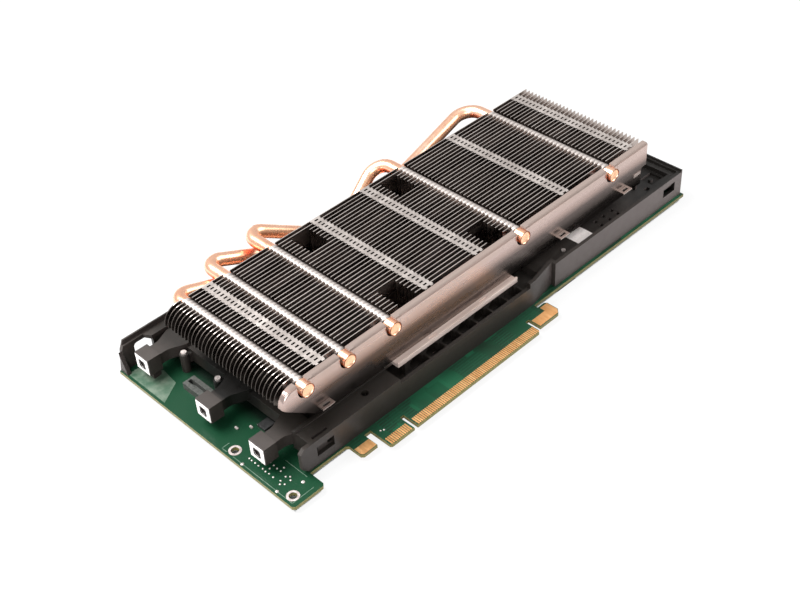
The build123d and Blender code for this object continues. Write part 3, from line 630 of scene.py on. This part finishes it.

# %% [markdown]
# The other finishes differ only in their shades, their gloss and their grain, so one function
# makes them all: a brushed plate, plated steel, gold, moulded packages, paper, solder, and the
# board's pale field with a painted highlight, and thin lines. Each node of the solid model then gets the finish
# of its slot.

# %% The other finishes
finishes.update({
    "silver": mottled("brushed_plate", (0.74, 0.59, 0.53), (0.88, 0.73, 0.66), 0.5, (0.3, 0.4), 500,
                      (0.08, 1, 1)),
    "steel": mottled("plated_steel", (0.42, 0.42, 0.43), (0.6, 0.6, 0.62), 1.0, (0.25, 0.4), 500),
    "gold": mottled("gold_plating", (0.74, 0.38, 0.14), (0.9, 0.52, 0.23), 0.75, (0.3, 0.45), 700, (1, 0.2, 1)),
    "chip": mottled("moulded_package", (0.007, 0.007, 0.007), (0.018, 0.018, 0.018), 0.0, (0.45, 0.6), 900),
    "lid": mottled("plated_lid", (0.5, 0.5, 0.5), (0.68, 0.68, 0.68), 1.0, (0.25, 0.35), 700),
    "pad": mottled("thermal_pad", (0.3, 0.36, 0.42), (0.4, 0.46, 0.52), 0.0, (0.7, 0.85), 700),
    "choke": mottled("pressed_powder", (0.06, 0.06, 0.065), (0.13, 0.13, 0.135), 0.0, (0.55, 0.7), 1400),
    "connector": mottled("grey_moulding", (0.035, 0.038, 0.034), (0.075, 0.078, 0.07), 0.0, (0.4, 0.55), 900),
    "label": mottled("paper", (0.86, 0.79, 0.76), (0.96, 0.89, 0.86), 0.0, (0.6, 0.75), 1200),
    "solder": mottled("solder", (0.42, 0.37, 0.35), (0.66, 0.6, 0.57), 0.45, (0.3, 0.45), 900),
    "dull_solder": mottled("dull_solder", (0.3, 0.25, 0.235), (0.55, 0.48, 0.46), 0.3, (0.4, 0.55), 700),
    # A pale copper field under the lacquer with a painted highlight on it.
    "pale_field_and_highlight": mottled("pale_field_and_highlight", (0.035, 0.085, 0.05), (0.12, 0.165, 0.12), 0.0, (0.4, 0.5), 260,
                            depth_mm=0.005),
    "thin_lines": mottled("thin_lines", (0.08, 0.15, 0.105), (0.2, 0.27, 0.21), 0.0, (0.35, 0.5), 700,
                          depth_mm=0.005),
    # Painted shade for the seams round the pipes' closed ends.
    "seam_shade": mottled("painted_rim_shade", (0.1, 0.03, 0.015), (0.2, 0.06, 0.03), 0.6, (0.4, 0.55), 700),
})
for part in frame["record"]["subparts"]:
    for slot in nodes[part["node"]].material_slots:
        slot.material = finishes[part["material_slot"]]
for node, finish in (("side_plate", "front_sheet"), ("post_screws", "solder"), ("deck_pin", "solder")):
    for slot in nodes[node].material_slots:
        slot.material = finishes[finish]
print("finishes:", len(finishes))

# %% [markdown]
# Every new piece goes through the same last steps: its mesh gets a name and a finish, by default
# the one of its slot, it rides on the card, and where it stands for a solid, that solid is hidden.
# Small bevels catch the light on real edges, so pieces may ask for one.

# %% Finishing a piece
BEVEL_SEGMENTS = 2
BEVEL_ANGLE = 40


def make_piece(bm, name, slot, finish=None, smooth_angle=35.0, stands_for=(), bevel_mm=0.0):
    """Turns a finished mesh into a piece of the card."""
    mesh = bpy.data.meshes.new(name)
    bm.to_mesh(mesh)
    bm.free()
    mesh.polygons.foreach_set("use_smooth", [True] * len(mesh.polygons))
    mesh.set_sharp_from_angle(angle=math.radians(smooth_angle))
    mesh.materials.append(finishes[finish or slot])
    piece = bpy.data.objects.new(name, mesh)
    bpy.context.scene.collection.objects.link(piece)
    if bevel_mm:
        bevel = piece.modifiers.new("soft_edges", "BEVEL")
        bevel.width = bevel_mm * MM
        bevel.segments = BEVEL_SEGMENTS
        bevel.limit_method = "ANGLE"
        bevel.angle_limit = math.radians(BEVEL_ANGLE)
        bevel.harden_normals = True
    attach(piece, "root")
    if stands_for:
        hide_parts(*stands_for)
    print(name, "faces:", len(mesh.polygons))


def add_block(bm, low, high):
    """A box between two corners, in the grid's millimetres; returns its vertices."""
    made = bmesh.ops.create_cube(bm, size=1.0)["verts"]
    low, high = Vector(low), Vector(high)
    bmesh.ops.scale(bm, vec=high - low, verts=made)
    bmesh.ops.translate(bm, vec=(low + high) / 2, verts=made)
    return made


# %% [markdown]
# The frame and the cold plate keep their solids' shapes. A solid model has perfectly sharp edges,
# though, and real castings and milled plates don't. A merged copy of each mesh gets a narrow bevel,
# which draws the thin bright lines that make black metal readable.

# %% Soft edges on the solids
MERGE_MM = 0.002
FLAT_ANGLE = 0.5


def soften(node, name, bevel_mm):
    """Replaces a node by a merged copy of it with narrow bevels."""
    bm = bmesh.new()
    bm.from_mesh(nodes[node].data)
    bmesh.ops.remove_doubles(bm, verts=bm.verts, dist=MERGE_MM * MM)
    bmesh.ops.dissolve_limit(bm, angle_limit=math.radians(FLAT_ANGLE), verts=bm.verts, edges=bm.edges)
    slot = [p["material_slot"] for p in frame["record"]["subparts"] if p["node"] == node][0]
    make_piece(bm, name, slot, stands_for=(node,), bevel_mm=bevel_mm)


soften("base_frame", "frame_casting", 0.22)
soften("cold_plate", "plate", 0.12)

# %% [markdown]
# Each heat pipe runs forward along the fins, turns round behind them, dives, and comes back into
# the cold plate. A curve with a bevel would do, but a ring of vertices that is extruded along the
# straight runs and spun through the bends shows how such a tube is bent in the shop.

# %% Bending a tube
BEND_STEPS_EACH_RADIAN = 9


def bend_facts(before, corner, after, radius):
    """Where a bend starts, its centre, its axis and its angle."""
    way_in, way_out = (corner - before).normalized(), (after - corner).normalized()
    turn = way_in.angle(way_out)
    start = corner - way_in * radius * math.tan(turn / 2)
    axis = way_in.cross(way_out).normalized()
    return start, start + axis.cross(way_in) * radius, axis, turn


def run_to(bm, rim, shift):
    """Extrudes the open rim of a tube by a shift and returns the new rim."""
    made = bmesh.ops.extrude_edge_only(bm, edges=rim)["geom"]
    fresh = [v for v in made if isinstance(v, bmesh.types.BMVert)]
    bmesh.ops.translate(bm, vec=shift, verts=fresh)
    return [e for e in made if isinstance(e, bmesh.types.BMEdge)]


def spin_to(bm, rim, centre, axis, turn):
    """Spins the open rim round a bend and returns the new rim."""
    steps = max(3, round(turn * BEND_STEPS_EACH_RADIAN))
    verts = list({v for e in rim for v in e.verts})
    made = bmesh.ops.spin(bm, geom=verts + rim, cent=centre, axis=axis, angle=turn, steps=steps,
                          use_merge=False, use_normal_flip=False, use_duplicate=False)["geom_last"]
    return [e for e in made if isinstance(e, bmesh.types.BMEdge)]


print("a right angle is bent in", round(math.pi / 2 * BEND_STEPS_EACH_RADIAN), "steps")

# %% [markdown]
# The five pipes differ in where they run, how far they reach back, and how tight they turn. A route
# gives X above and below, how far each bend lies in from the board's back edge, and the radius of
# the upper bend. Three pipes stand higher behind the fins, which takes two bends more. The front
# end is closed by a low dome, which is made by insetting the end face step by step.

# %% Heat pipes
BOARD_BACK_Y = 111.15
PIPE_STEPS = 28
PIPE_RADIUS = 3.0
PIPE_Z = 30.3
PIPE_BOTTOM_Z = 10.0
PIPE_FRONT_Y = 19.2
PIPE_END_Y = 36.0
BOTTOM_BEND = 5.6
PIPE_ROUTES = (
    (25.2, 88.8, 12.15, 15.15, 6.5),
    (46.0, 96.8, 5.35, 9.95, 6.5),
    (69.8, 104.8, 3.25, 5.75, 6.5),
    (144.5, 115.0, 3.95, 8.65, 8.0),
    (203.2, 124.0, 3.95, 9.65, 9.0),
)
LOOP_LIFTS = (0.6, 1.7, 2.8, 0.0, 0.0)
LOOP_SHIFT = 6.5
LOOP_BEND = 5.0
EASY_BEND = 6.0
PLATE_BACK_Y = 89.5
RIM_START = 1.0
DOME_STEPS = ((0.12, 0.3), (0.33, 0.3), (0.5, 0.16), (0.8, 0.08))


def pipe(number, route):
    """One heat pipe: a tube run and spun along its route, then closed at both ends."""
    top_x, bottom_x, top_inset, bottom_inset, top_bend = route
    first = Vector((top_x, PIPE_FRONT_Y + RIM_START, PIPE_Z))
    upper = Vector((top_x, BOARD_BACK_Y - top_inset, PIPE_Z))
    lower = Vector((bottom_x, BOARD_BACK_Y - bottom_inset, PIPE_BOTTOM_Z))
    last = Vector((bottom_x, PIPE_END_Y, PIPE_BOTTOM_Z))
    bm = bmesh.new()
    ring = bmesh.ops.create_circle(bm, segments=PIPE_STEPS, radius=PIPE_RADIUS, cap_ends=False)["verts"]
    bmesh.ops.rotate(bm, cent=(0, 0, 0), matrix=Matrix.Rotation(math.radians(90), 3, "X"), verts=ring)
    bmesh.ops.translate(bm, vec=first, verts=ring)
    rim = list(bm.edges)
    place = first
    corners = [(upper, top_bend), (lower, BOTTOM_BEND)]
    lift = LOOP_LIFTS[number - 1]
    if lift:
        share = LOOP_SHIFT / (lower - upper).length
        raised = Vector((0, 0, lift))
        corners = [(upper, LOOP_BEND), (upper.lerp(lower, share) + raised, EASY_BEND),
                   (lower + raised, BOTTOM_BEND), (Vector((bottom_x, PLATE_BACK_Y, PIPE_BOTTOM_Z)), EASY_BEND)]
    stops = [first] + [corner for corner, radius in corners] + [last]
    for before, (corner, radius), after in zip(stops, corners, stops[2:]):
        start, centre, axis, turn = bend_facts(before, corner, after, radius)
        rim = run_to(bm, rim, start - place)
        rim = spin_to(bm, rim, centre, axis, turn)
        place = centre + Matrix.Rotation(turn, 3, axis) @ (start - centre)
    run_to(bm, rim, last - place)
    for end in (last, first):
        open_rim = [e for e in bm.edges if e.is_boundary and (e.verts[0].co - end).length < 2 * PIPE_RADIUS]
        bmesh.ops.edgeloop_fill(bm, edges=open_rim)
    front = min(bm.faces, key=lambda f: f.calc_center_median().y)
    for thickness, depth in DOME_STEPS:
        bmesh.ops.inset_region(bm, faces=[front], thickness=thickness, depth=depth)
    bmesh.ops.recalc_face_normals(bm, faces=bm.faces)
    on_grid(bm)
    make_piece(bm, f"pipe_{number}", "copper", smooth_angle=50, stands_for=(f"heat_pipe_{number}",))


for number, route in enumerate(PIPE_ROUTES, start=1):
    pipe(number, route)

# %% [markdown]
# The fins are stamped from thin sheet. Each has tabs along its top edge that are folded forward to
# the next fin, two narrow ones side by side with a window between them, so that together they form
# pale stripes across the stack. The blank is drawn as a flat outline first, with a round slot for
# each pipe that opens upwards through a narrower mouth, and then thickened.

# %% The outline of a fin
FIN_LEFT, FIN_RIGHT = 14.0, 228.3
FIN_FOOT_LEFT = 30.0
FIN_TOP, FIN_BOTTOM = 34.0, 14.0
FIN_STEP_X, FIN_STEP_Z = 225.0, 22.5
FIN_END_Z = 26.8
FIN_CORNER = 7.0
SLOT_RADIUS = 3.25
SLOT_MOUTH = 1.75
CORNER_STEPS = 6
SLOT_STEPS = 12


def strip_between(x0, x1, slots):
    """The outline of one stretch of fin, from its foot up, with the pipe slots cut from above."""
    bottom_left = max(x0, FIN_FOOT_LEFT)
    points = []
    if x0 == FIN_LEFT:
        for i in range(CORNER_STEPS + 1):
            turn = math.radians(180 - 90 * i / CORNER_STEPS)
            points.append((FIN_LEFT + FIN_CORNER * (1 + math.cos(turn)),
                           FIN_TOP - FIN_CORNER * (1 - math.sin(turn))))
        points.insert(0, (FIN_LEFT, FIN_END_Z))
    else:
        points.append((x0, FIN_TOP))
    lip_turn = math.acos(SLOT_MOUTH / SLOT_RADIUS)
    for centre in slots:
        points.append((centre - SLOT_MOUTH, FIN_TOP))
        for i in range(SLOT_STEPS + 1):
            turn = math.pi - lip_turn + (math.pi + 2 * lip_turn) * i / SLOT_STEPS
            points.append((centre + SLOT_RADIUS * math.cos(turn), PIPE_Z + SLOT_RADIUS * math.sin(turn)))
        points.append((centre + SLOT_MOUTH, FIN_TOP))
    points.append((x1, FIN_TOP))
    if x1 == FIN_RIGHT:
        points += [(FIN_RIGHT, FIN_STEP_Z), (FIN_STEP_X, FIN_STEP_Z), (FIN_STEP_X, FIN_BOTTOM)]
    else:
        points.append((x1, FIN_BOTTOM))
    points.append((bottom_left, FIN_BOTTOM))
    return points


def add_outline(bm, points, y, thickness):
    """A sheet of that outline in X and Z, standing at y."""
    face = bm.faces.new([bm.verts.new((x, y, z)) for x, z in points])
    made = bmesh.ops.extrude_face_region(bm, geom=[face])["geom"]
    verts = [v for v in made if isinstance(v, bmesh.types.BMVert)]
    bmesh.ops.translate(bm, vec=(0, thickness, 0), verts=verts)


print("a whole fin has", len(strip_between(FIN_LEFT, FIN_RIGHT, [route[0] for route in PIPE_ROUTES])), "corners")

# %% [markdown]
# Thirty-two fins stand in the stack. Twelve of them are cut through where a screwdriver has to
# reach the spring screws below, so each of those is drawn as three strips. A tab reaches to the
# next fin and is notched at its tip. A short bridge at the fin joins two tabs, which leaves a
# window before it.

# %% Fin stack
FIN_COUNT = 32
FIN_THICKNESS = 0.35
PITS_X = (82.0, 133.0)
PIT_HALF = 4.8
FRONT_PIT = range(0, 6)
BACK_PIT = range(24, 30)
TAB_ROWS = (35.8, 93.0, 121.6, 175.4, 219.6)
TAB_HALF = 2.7
TAB_THICKNESS = 0.3
TAB_NOTCH = 0.4
TAB_TIP = 0.75
WINDOW_HALF = 0.9
BRIDGE_LENGTH = 0.9


def fin(bm, index, cut):
    """One fin with its tabs; a cut one leaves out the pits and the tabs over them."""
    y = FIRST_FIN_Y + index * FIN_PITCH
    pit_walls = [x + side for x in PITS_X for side in (-PIT_HALF, PIT_HALF)] if cut else []
    borders = [FIN_LEFT, *pit_walls, FIN_RIGHT]
    for x0, x1 in zip(borders[::2], borders[1::2]):
        slots = [route[0] for route in PIPE_ROUTES if x0 < route[0] < x1]
        add_outline(bm, strip_between(x0, x1, slots), y, FIN_THICKNESS)
    reach = FIN_PITCH - FIN_THICKNESS
    for row in TAB_ROWS:
        left_tab = (row - TAB_HALF, row - WINDOW_HALF, TAB_NOTCH, 0)
        right_tab = (row + WINDOW_HALF, row + TAB_HALF, 0, TAB_NOTCH)
        for low, high, left_notch, right_notch in (left_tab, right_tab):
            if any(cut and x - PIT_HALF < high and low < x + PIT_HALF for x in PITS_X):
                continue
            add_block(bm, (low, y - reach + TAB_TIP, FIN_TOP - TAB_THICKNESS), (high, y, FIN_TOP))
            add_block(bm, (low + left_notch, y - reach, FIN_TOP - TAB_THICKNESS),
                      (high - right_notch, y - reach + TAB_TIP, FIN_TOP))
        if not any(cut and abs(row - x) < PIT_HALF + TAB_HALF for x in PITS_X):
            add_block(bm, (row - WINDOW_HALF, y - BRIDGE_LENGTH, FIN_TOP - TAB_THICKNESS),
                      (row + WINDOW_HALF, y, FIN_TOP))


for name, cut_here in (("fins_whole", False), ("fins_with_pits", True)):
    bm = bmesh.new()
    for index in range(FIN_COUNT):
        if (index in FRONT_PIT or index in BACK_PIT) == cut_here:
            fin(bm, index, cut_here)
    bmesh.ops.recalc_face_normals(bm, faces=bm.faces)
    on_grid(bm)
    make_piece(bm, name, "fin", stands_for=("fin_stack",))

# %% [markdown]
# Where a pipe passes through a fin, the sheet is drawn up into a collar that grips it. The
# collars meet end to end and make a ribbed silver ridge over each pipe. One collar is a short
# profile spun round the pipe, widest at the fin's root, and narrower towards its mouth.

# %% Collars
COLLAR_PROFILE = ((-0.34, 3.08), (0.0, 3.2), (0.4, 3.16), (1.2, 3.08), (1.74, 3.07))
COLLAR_WALL = 0.05
COLLAR_STEPS = 22


def collar_row(number, route):
    """The collars of all fins on one pipe."""
    bm = bmesh.new()
    for index in range(-1, FIN_COUNT - 1):
        y = FIRST_FIN_Y + index * FIN_PITCH + FIN_THICKNESS
        points = [Vector((route[0], y + reach, PIPE_Z + radius)) for reach, radius in COLLAR_PROFILE]
        verts = [bm.verts.new(p) for p in points]
        edges = [bm.edges.new(pair) for pair in zip(verts, verts[1:])]
        bmesh.ops.spin(bm, geom=verts + edges, cent=(route[0], 0, PIPE_Z), axis=(0, 1, 0), angle=2 * math.pi,
                       steps=COLLAR_STEPS, use_merge=True, use_normal_flip=False, use_duplicate=False)
    bmesh.ops.recalc_face_normals(bm, faces=bm.faces)
    bmesh.ops.solidify(bm, geom=bm.faces, thickness=COLLAR_WALL)
    on_grid(bm)
    make_piece(bm, f"collars_{number}", "fin", "collar", smooth_angle=60, stands_for=(f"pipe_collar_{number}",))


for number, route in enumerate(PIPE_ROUTES, start=1):
    collar_row(number, route)

# %% [markdown]
# In the front sheet each pipe lies against the right side of its slot, so the sheet's fold closes
# that side. Each filler is an outline between the pipe and the slot's wall, thickened backwards.

# %% Folds beside the pipes
SHEET_SLOT_HALF = 3.75
FOLD_Y = (21.45, 24.25)
FOLD_START, FOLD_END = -80, 62
INNER_STEPS, OUTER_STEPS = 12, 5
FOLD_RADIUS = PIPE_RADIUS + 0.05
FOLD_TOP = FIN_TOP - 0.02

bm = bmesh.new()
for route in PIPE_ROUTES:
    inner = [math.radians(FOLD_START + (FOLD_END - FOLD_START) * i / INNER_STEPS) for i in range(INNER_STEPS + 1)]
    outer = [math.radians(FOLD_START * i / OUTER_STEPS) for i in range(OUTER_STEPS + 1)]
    fold = [(route[0] + FOLD_RADIUS * math.cos(turn), PIPE_Z + FOLD_RADIUS * math.sin(turn)) for turn in inner]
    fold += [(fold[-1][0], FOLD_TOP), (route[0] + SHEET_SLOT_HALF, FOLD_TOP)]
    fold += [(route[0] + SHEET_SLOT_HALF * math.cos(turn), PIPE_Z + SHEET_SLOT_HALF * math.sin(turn))
             for turn in outer]
    add_outline(bm, fold, FOLD_Y[0], FOLD_Y[1] - FOLD_Y[0])
bmesh.ops.recalc_face_normals(bm, faces=bm.faces)
on_grid(bm)
make_piece(bm, "sheet_folds", "fin", "front_sheet")

# %% [markdown]
# The edge connector has a row of gold contacts on each face of the board, a millimetre apart: a
# short row before the key notch and a long one after it. A solid model shows each row as one field
# of plating. Here every contact is a thin block with its corners bevelled.

# %% Edge contacts
CONTACT_PITCH = 1.0
CONTACT_WIDTH = 0.72
CONTACT_ROWS = ((46.35, 11), (60.55, 71))
CONTACT_Y = (0.4, 4.4)
BOARD_THICKNESS = 1.57
PLATING = 0.1
CORNER_CUT = 0.15

bm = bmesh.new()
for start, count in CONTACT_ROWS:
    for i in range(count):
        x = start + i * CONTACT_PITCH
        for z in (0.0, -BOARD_THICKNESS - PLATING):
            block = add_block(bm, (x - CONTACT_WIDTH / 2, CONTACT_Y[0], z),
                              (x + CONTACT_WIDTH / 2, CONTACT_Y[1], z + PLATING))
            upright = [e for e in {e for v in block for e in v.link_edges}
                       if abs(e.verts[0].co.z - e.verts[1].co.z) > PLATING / 2]
            bmesh.ops.bevel(bm, geom=upright, offset=CORNER_CUT, offset_type="OFFSET", affect="EDGES",
                            segments=1, profile=0.5, material=-1)
on_grid(bm)
make_piece(bm, "contacts", "gold", stands_for=("edge_contacts",))

# %% [markdown]
# The hook tab and the latch are plated to their tips, and each bracket hole has a tinned ring. The
# solid's plates are drawn again here as thin prisms: an outline is filled, then extruded.

# %% Plated tabs and rings
HOOK_PLATE = ((34.4, 5.4), (35.3, 4.5), (41.8, 4.5), (41.8, 8.9), (34.4, 8.9))
LATCH_PLATE = ((133.7, 2.2), (144.8, 2.2), (146.5, 3.9), (146.5, 9.6), (142.1, 9.6), (142.1, 7.0), (133.7, 7.0))
BRACKET_HOLES = ((3.8, 8.9), (3.8, 42.0))
RING_INNER, RING_OUTER, RING_HEIGHT = 1.65, 2.6, 0.12


def add_prism(bm, outline, z0, z1):
    """An outline seen from above, raised from z0 to z1."""
    face = bm.faces.new([bm.verts.new((x, y, z0)) for x, y in outline])
    made = bmesh.ops.extrude_face_region(bm, geom=[face])["geom"]
    verts = [v for v in made if isinstance(v, bmesh.types.BMVert)]
    bmesh.ops.translate(bm, vec=(0, 0, z1 - z0), verts=verts)


def add_washer(bm, centre, axis, inner, outer, thickness, steps=32):
    """A flat ring round a hole; it looks along the axis."""
    start = len(bm.verts)
    hub = bmesh.ops.create_circle(bm, segments=steps, radius=inner, cap_ends=False)["verts"]
    edges = list({e for v in hub for e in v.link_edges})
    made = bmesh.ops.extrude_edge_only(bm, edges=edges)["geom"]
    rim = [v for v in made if isinstance(v, bmesh.types.BMVert)]
    bmesh.ops.scale(bm, vec=(outer / inner, outer / inner, 1), verts=rim)
    faces = list({f for v in rim for f in v.link_faces})
    made = bmesh.ops.extrude_face_region(bm, geom=faces)["geom"]
    top = [v for v in made if isinstance(v, bmesh.types.BMVert)]
    bmesh.ops.translate(bm, vec=(0, 0, thickness), verts=top)
    verts = list(bm.verts)[start:]
    turn = Vector((0, 0, 1)).rotation_difference(Vector(axis)).to_matrix()
    bmesh.ops.rotate(bm, cent=(0, 0, 0), matrix=turn, verts=verts)
    bmesh.ops.translate(bm, vec=centre, verts=verts)
    return verts


bm = bmesh.new()
for outline in (HOOK_PLATE, LATCH_PLATE):
    for z in (0.0, -BOARD_THICKNESS - PLATING):
        add_prism(bm, outline, z, z + PLATING)
bmesh.ops.recalc_face_normals(bm, faces=bm.faces)
on_grid(bm)
make_piece(bm, "tab_plating", "gold", stands_for=("board_pads",))

bm = bmesh.new()
for x, y in BRACKET_HOLES:
    add_washer(bm, (x, y, 0), (0, 0, 1), RING_INNER, RING_OUTER, RING_HEIGHT)
bmesh.ops.recalc_face_normals(bm, faces=bm.faces)
on_grid(bm)
make_piece(bm, "hole_rings", "steel", "dull_solder", stands_for=("board_pads",))

# %% [markdown]
# Each boss that the bracket is screwed to is bare round a dark square of painted shade about the
# tapped hole, and a thin seam of painted shade runs round the closed end of each pipe. Both start
# as washers. The outer rim of the bosses' ones is pressed into a square.

# %% Boss middles and seams
BOSS_MIDDLE_Z = 8.2
BOSS_Y = (28.3, 60.1, 99.2)
HOLE_RADIUS, RIM_RADIUS = 1.6, 2.5
SQUARE_HALF = 2.0
COAT_THICKNESS = 0.06
SEAM_Y = PIPE_FRONT_Y + 0.95
SEAM_INNER, SEAM_OUTER, SEAM_WIDTH = 2.82, 3.04, 0.16

bm = bmesh.new()
for y in BOSS_Y:
    ring = add_washer(bm, (BOSS_FACE_X, y, BOSS_MIDDLE_Z), (-1, 0, 0), HOLE_RADIUS, RIM_RADIUS,
                      COAT_THICKNESS, steps=24)
    for v in ring:
        reach_y, reach_z = v.co.y - y, v.co.z - BOSS_MIDDLE_Z
        if math.hypot(reach_y, reach_z) > (HOLE_RADIUS + RIM_RADIUS) / 2:
            v.co.y = y + max(-SQUARE_HALF, min(SQUARE_HALF, reach_y))
            v.co.z = BOSS_MIDDLE_Z + max(-SQUARE_HALF, min(SQUARE_HALF, reach_z))
bmesh.ops.recalc_face_normals(bm, faces=bm.faces)
on_grid(bm)
# The dark squares are painted shade round the tapped holes.
make_piece(bm, "boss_middles", "casting", "chip")

bm = bmesh.new()
for route in PIPE_ROUTES:
    add_washer(bm, (route[0], SEAM_Y, PIPE_Z), (0, -1, 0), SEAM_INNER, SEAM_OUTER, SEAM_WIDTH)
bmesh.ops.recalc_face_normals(bm, faces=bm.faces)
on_grid(bm)
# A painted shade along the rim of each pipe's closed end.
make_piece(bm, "pipe_seams", "copper", "seam_shade")

# %% [markdown]
# Near the bracket the board shows what it carries: a pale field under the lacquer, which also holds
# a painted highlight, thin lines along its border, and the tinned ends of pins in staggered rows.

# %% Board details
PALE_FIELD_AND_HIGHLIGHT = ((1.2, 82.6), (11.2, 88.4), (12.4, 98.0), (6.0, 107.0), (1.2, 107.0))
THIN_LINES = (
    ((1.25, 40.0), (1.25, 6.4), (11.6, 6.4)),
    ((13.4, 24.0), (13.4, 12.0)),
    ((4.6, 46.6), (1.2, 46.6), (1.2, 44.0)),
)
LINE_WIDTH = 0.18
PIN_ENDS = (
    (4.9, 34.8), (4.8, 33.3), (4.9, 31.4), (4.8, 29.4), (4.9, 27.1), (4.7, 25.3), (4.9, 23.5), (4.8, 21.1),
    (8.9, 27.5), (8.8, 25.4), (8.6, 23.3), (6.7, 25.3), (10.6, 21.7), (8.7, 21.3), (8.1, 17.8), (9.2, 16.6),
    (8.1, 15.2), (5.5, 17.7), (4.2, 16.6), (5.4, 15.3), (47.8, 8.6), (49.0, 8.0),
)
LARGE_ENDS = ((1.2, 34.6), (1.2, 14.8), (10.7, 11.2))
END_RADIUS, END_HEIGHT = 0.42, 0.3
LARGE_RADIUS, LARGE_HEIGHT = 0.75, 0.35
END_BASE = 0.02
FIELD_HEIGHT = 0.03
LINE_HEIGHT = 0.05

bm = bmesh.new()
# A pale copper field with a painted highlight on it.
add_prism(bm, PALE_FIELD_AND_HIGHLIGHT, 0.0, FIELD_HEIGHT)
bmesh.ops.recalc_face_normals(bm, faces=bm.faces)
on_grid(bm)
make_piece(bm, "lacquered_field_and_highlight", "board", "pale_field_and_highlight")

bm = bmesh.new()
for line in THIN_LINES:
    for (x0, y0), (x1, y1) in zip(line, line[1:]):
        add_block(bm, (min(x0, x1) - LINE_WIDTH / 2, min(y0, y1) - LINE_WIDTH / 2, 0),
                  (max(x0, x1) + LINE_WIDTH / 2, max(y0, y1) + LINE_WIDTH / 2, LINE_HEIGHT))
on_grid(bm)
make_piece(bm, "border_lines", "board", "thin_lines")


def add_dome(bm, x, y, radius, height):
    """A low round bead of solder on the board."""
    made = bmesh.ops.create_uvsphere(bm, u_segments=12, v_segments=8, radius=1.0)["verts"]
    bmesh.ops.scale(bm, vec=(radius, radius, height), verts=made)
    bmesh.ops.translate(bm, vec=(x, y, END_BASE), verts=made)


bm = bmesh.new()
for x, y in PIN_ENDS:
    add_dome(bm, x, y, END_RADIUS, END_HEIGHT)
for x, y in LARGE_ENDS:
    add_dome(bm, x, y, LARGE_RADIUS, LARGE_HEIGHT)
on_grid(bm)
make_piece(bm, "pin_ends", "steel", "solder", smooth_angle=60)

# %% [markdown]
# Between the front arm and the middle one, two tiny soldered parts and a small chip stand beside
# the frame. The chip's legs are plain blocks: only their ends show from under it.

# %% Small parts
SMALL_PARTS = ((11.5, 50.5), (15.7, 46.7))
PART_WIDTH, PART_LENGTH, PART_HEIGHT = 0.8, 1.6, 0.55
CHIP_CORNER = (17.6, 40.6)
CHIP_LENGTH, CHIP_WIDTH = 5.2, 4.6
CHIP_BOTTOM, CHIP_TOP = 0.1, 1.4
LEG_COUNT, LEG_PITCH, FIRST_LEG = 4, 1.27, 0.6
LEG_WIDTH, LEG_LENGTH, LEG_HEIGHT = 0.4, 0.9, 0.2

bm = bmesh.new()
for x, y in SMALL_PARTS:
    add_block(bm, (x - PART_WIDTH / 2, y - PART_LENGTH / 2, 0),
              (x + PART_WIDTH / 2, y + PART_LENGTH / 2, PART_HEIGHT))
for i in range(LEG_COUNT):
    x = CHIP_CORNER[0] + FIRST_LEG + i * LEG_PITCH
    for y in (CHIP_CORNER[1] - LEG_LENGTH, CHIP_CORNER[1] + CHIP_WIDTH):
        add_block(bm, (x - LEG_WIDTH / 2, y, 0), (x + LEG_WIDTH / 2, y + LEG_LENGTH, LEG_HEIGHT))
on_grid(bm)
make_piece(bm, "part_ends", "steel", "solder")

bm = bmesh.new()
add_block(bm, (*CHIP_CORNER, CHIP_BOTTOM), (CHIP_CORNER[0] + CHIP_LENGTH, CHIP_CORNER[1] + CHIP_WIDTH, CHIP_TOP))
on_grid(bm)
make_piece(bm, "edge_chip", "chip", bevel_mm=0.1)
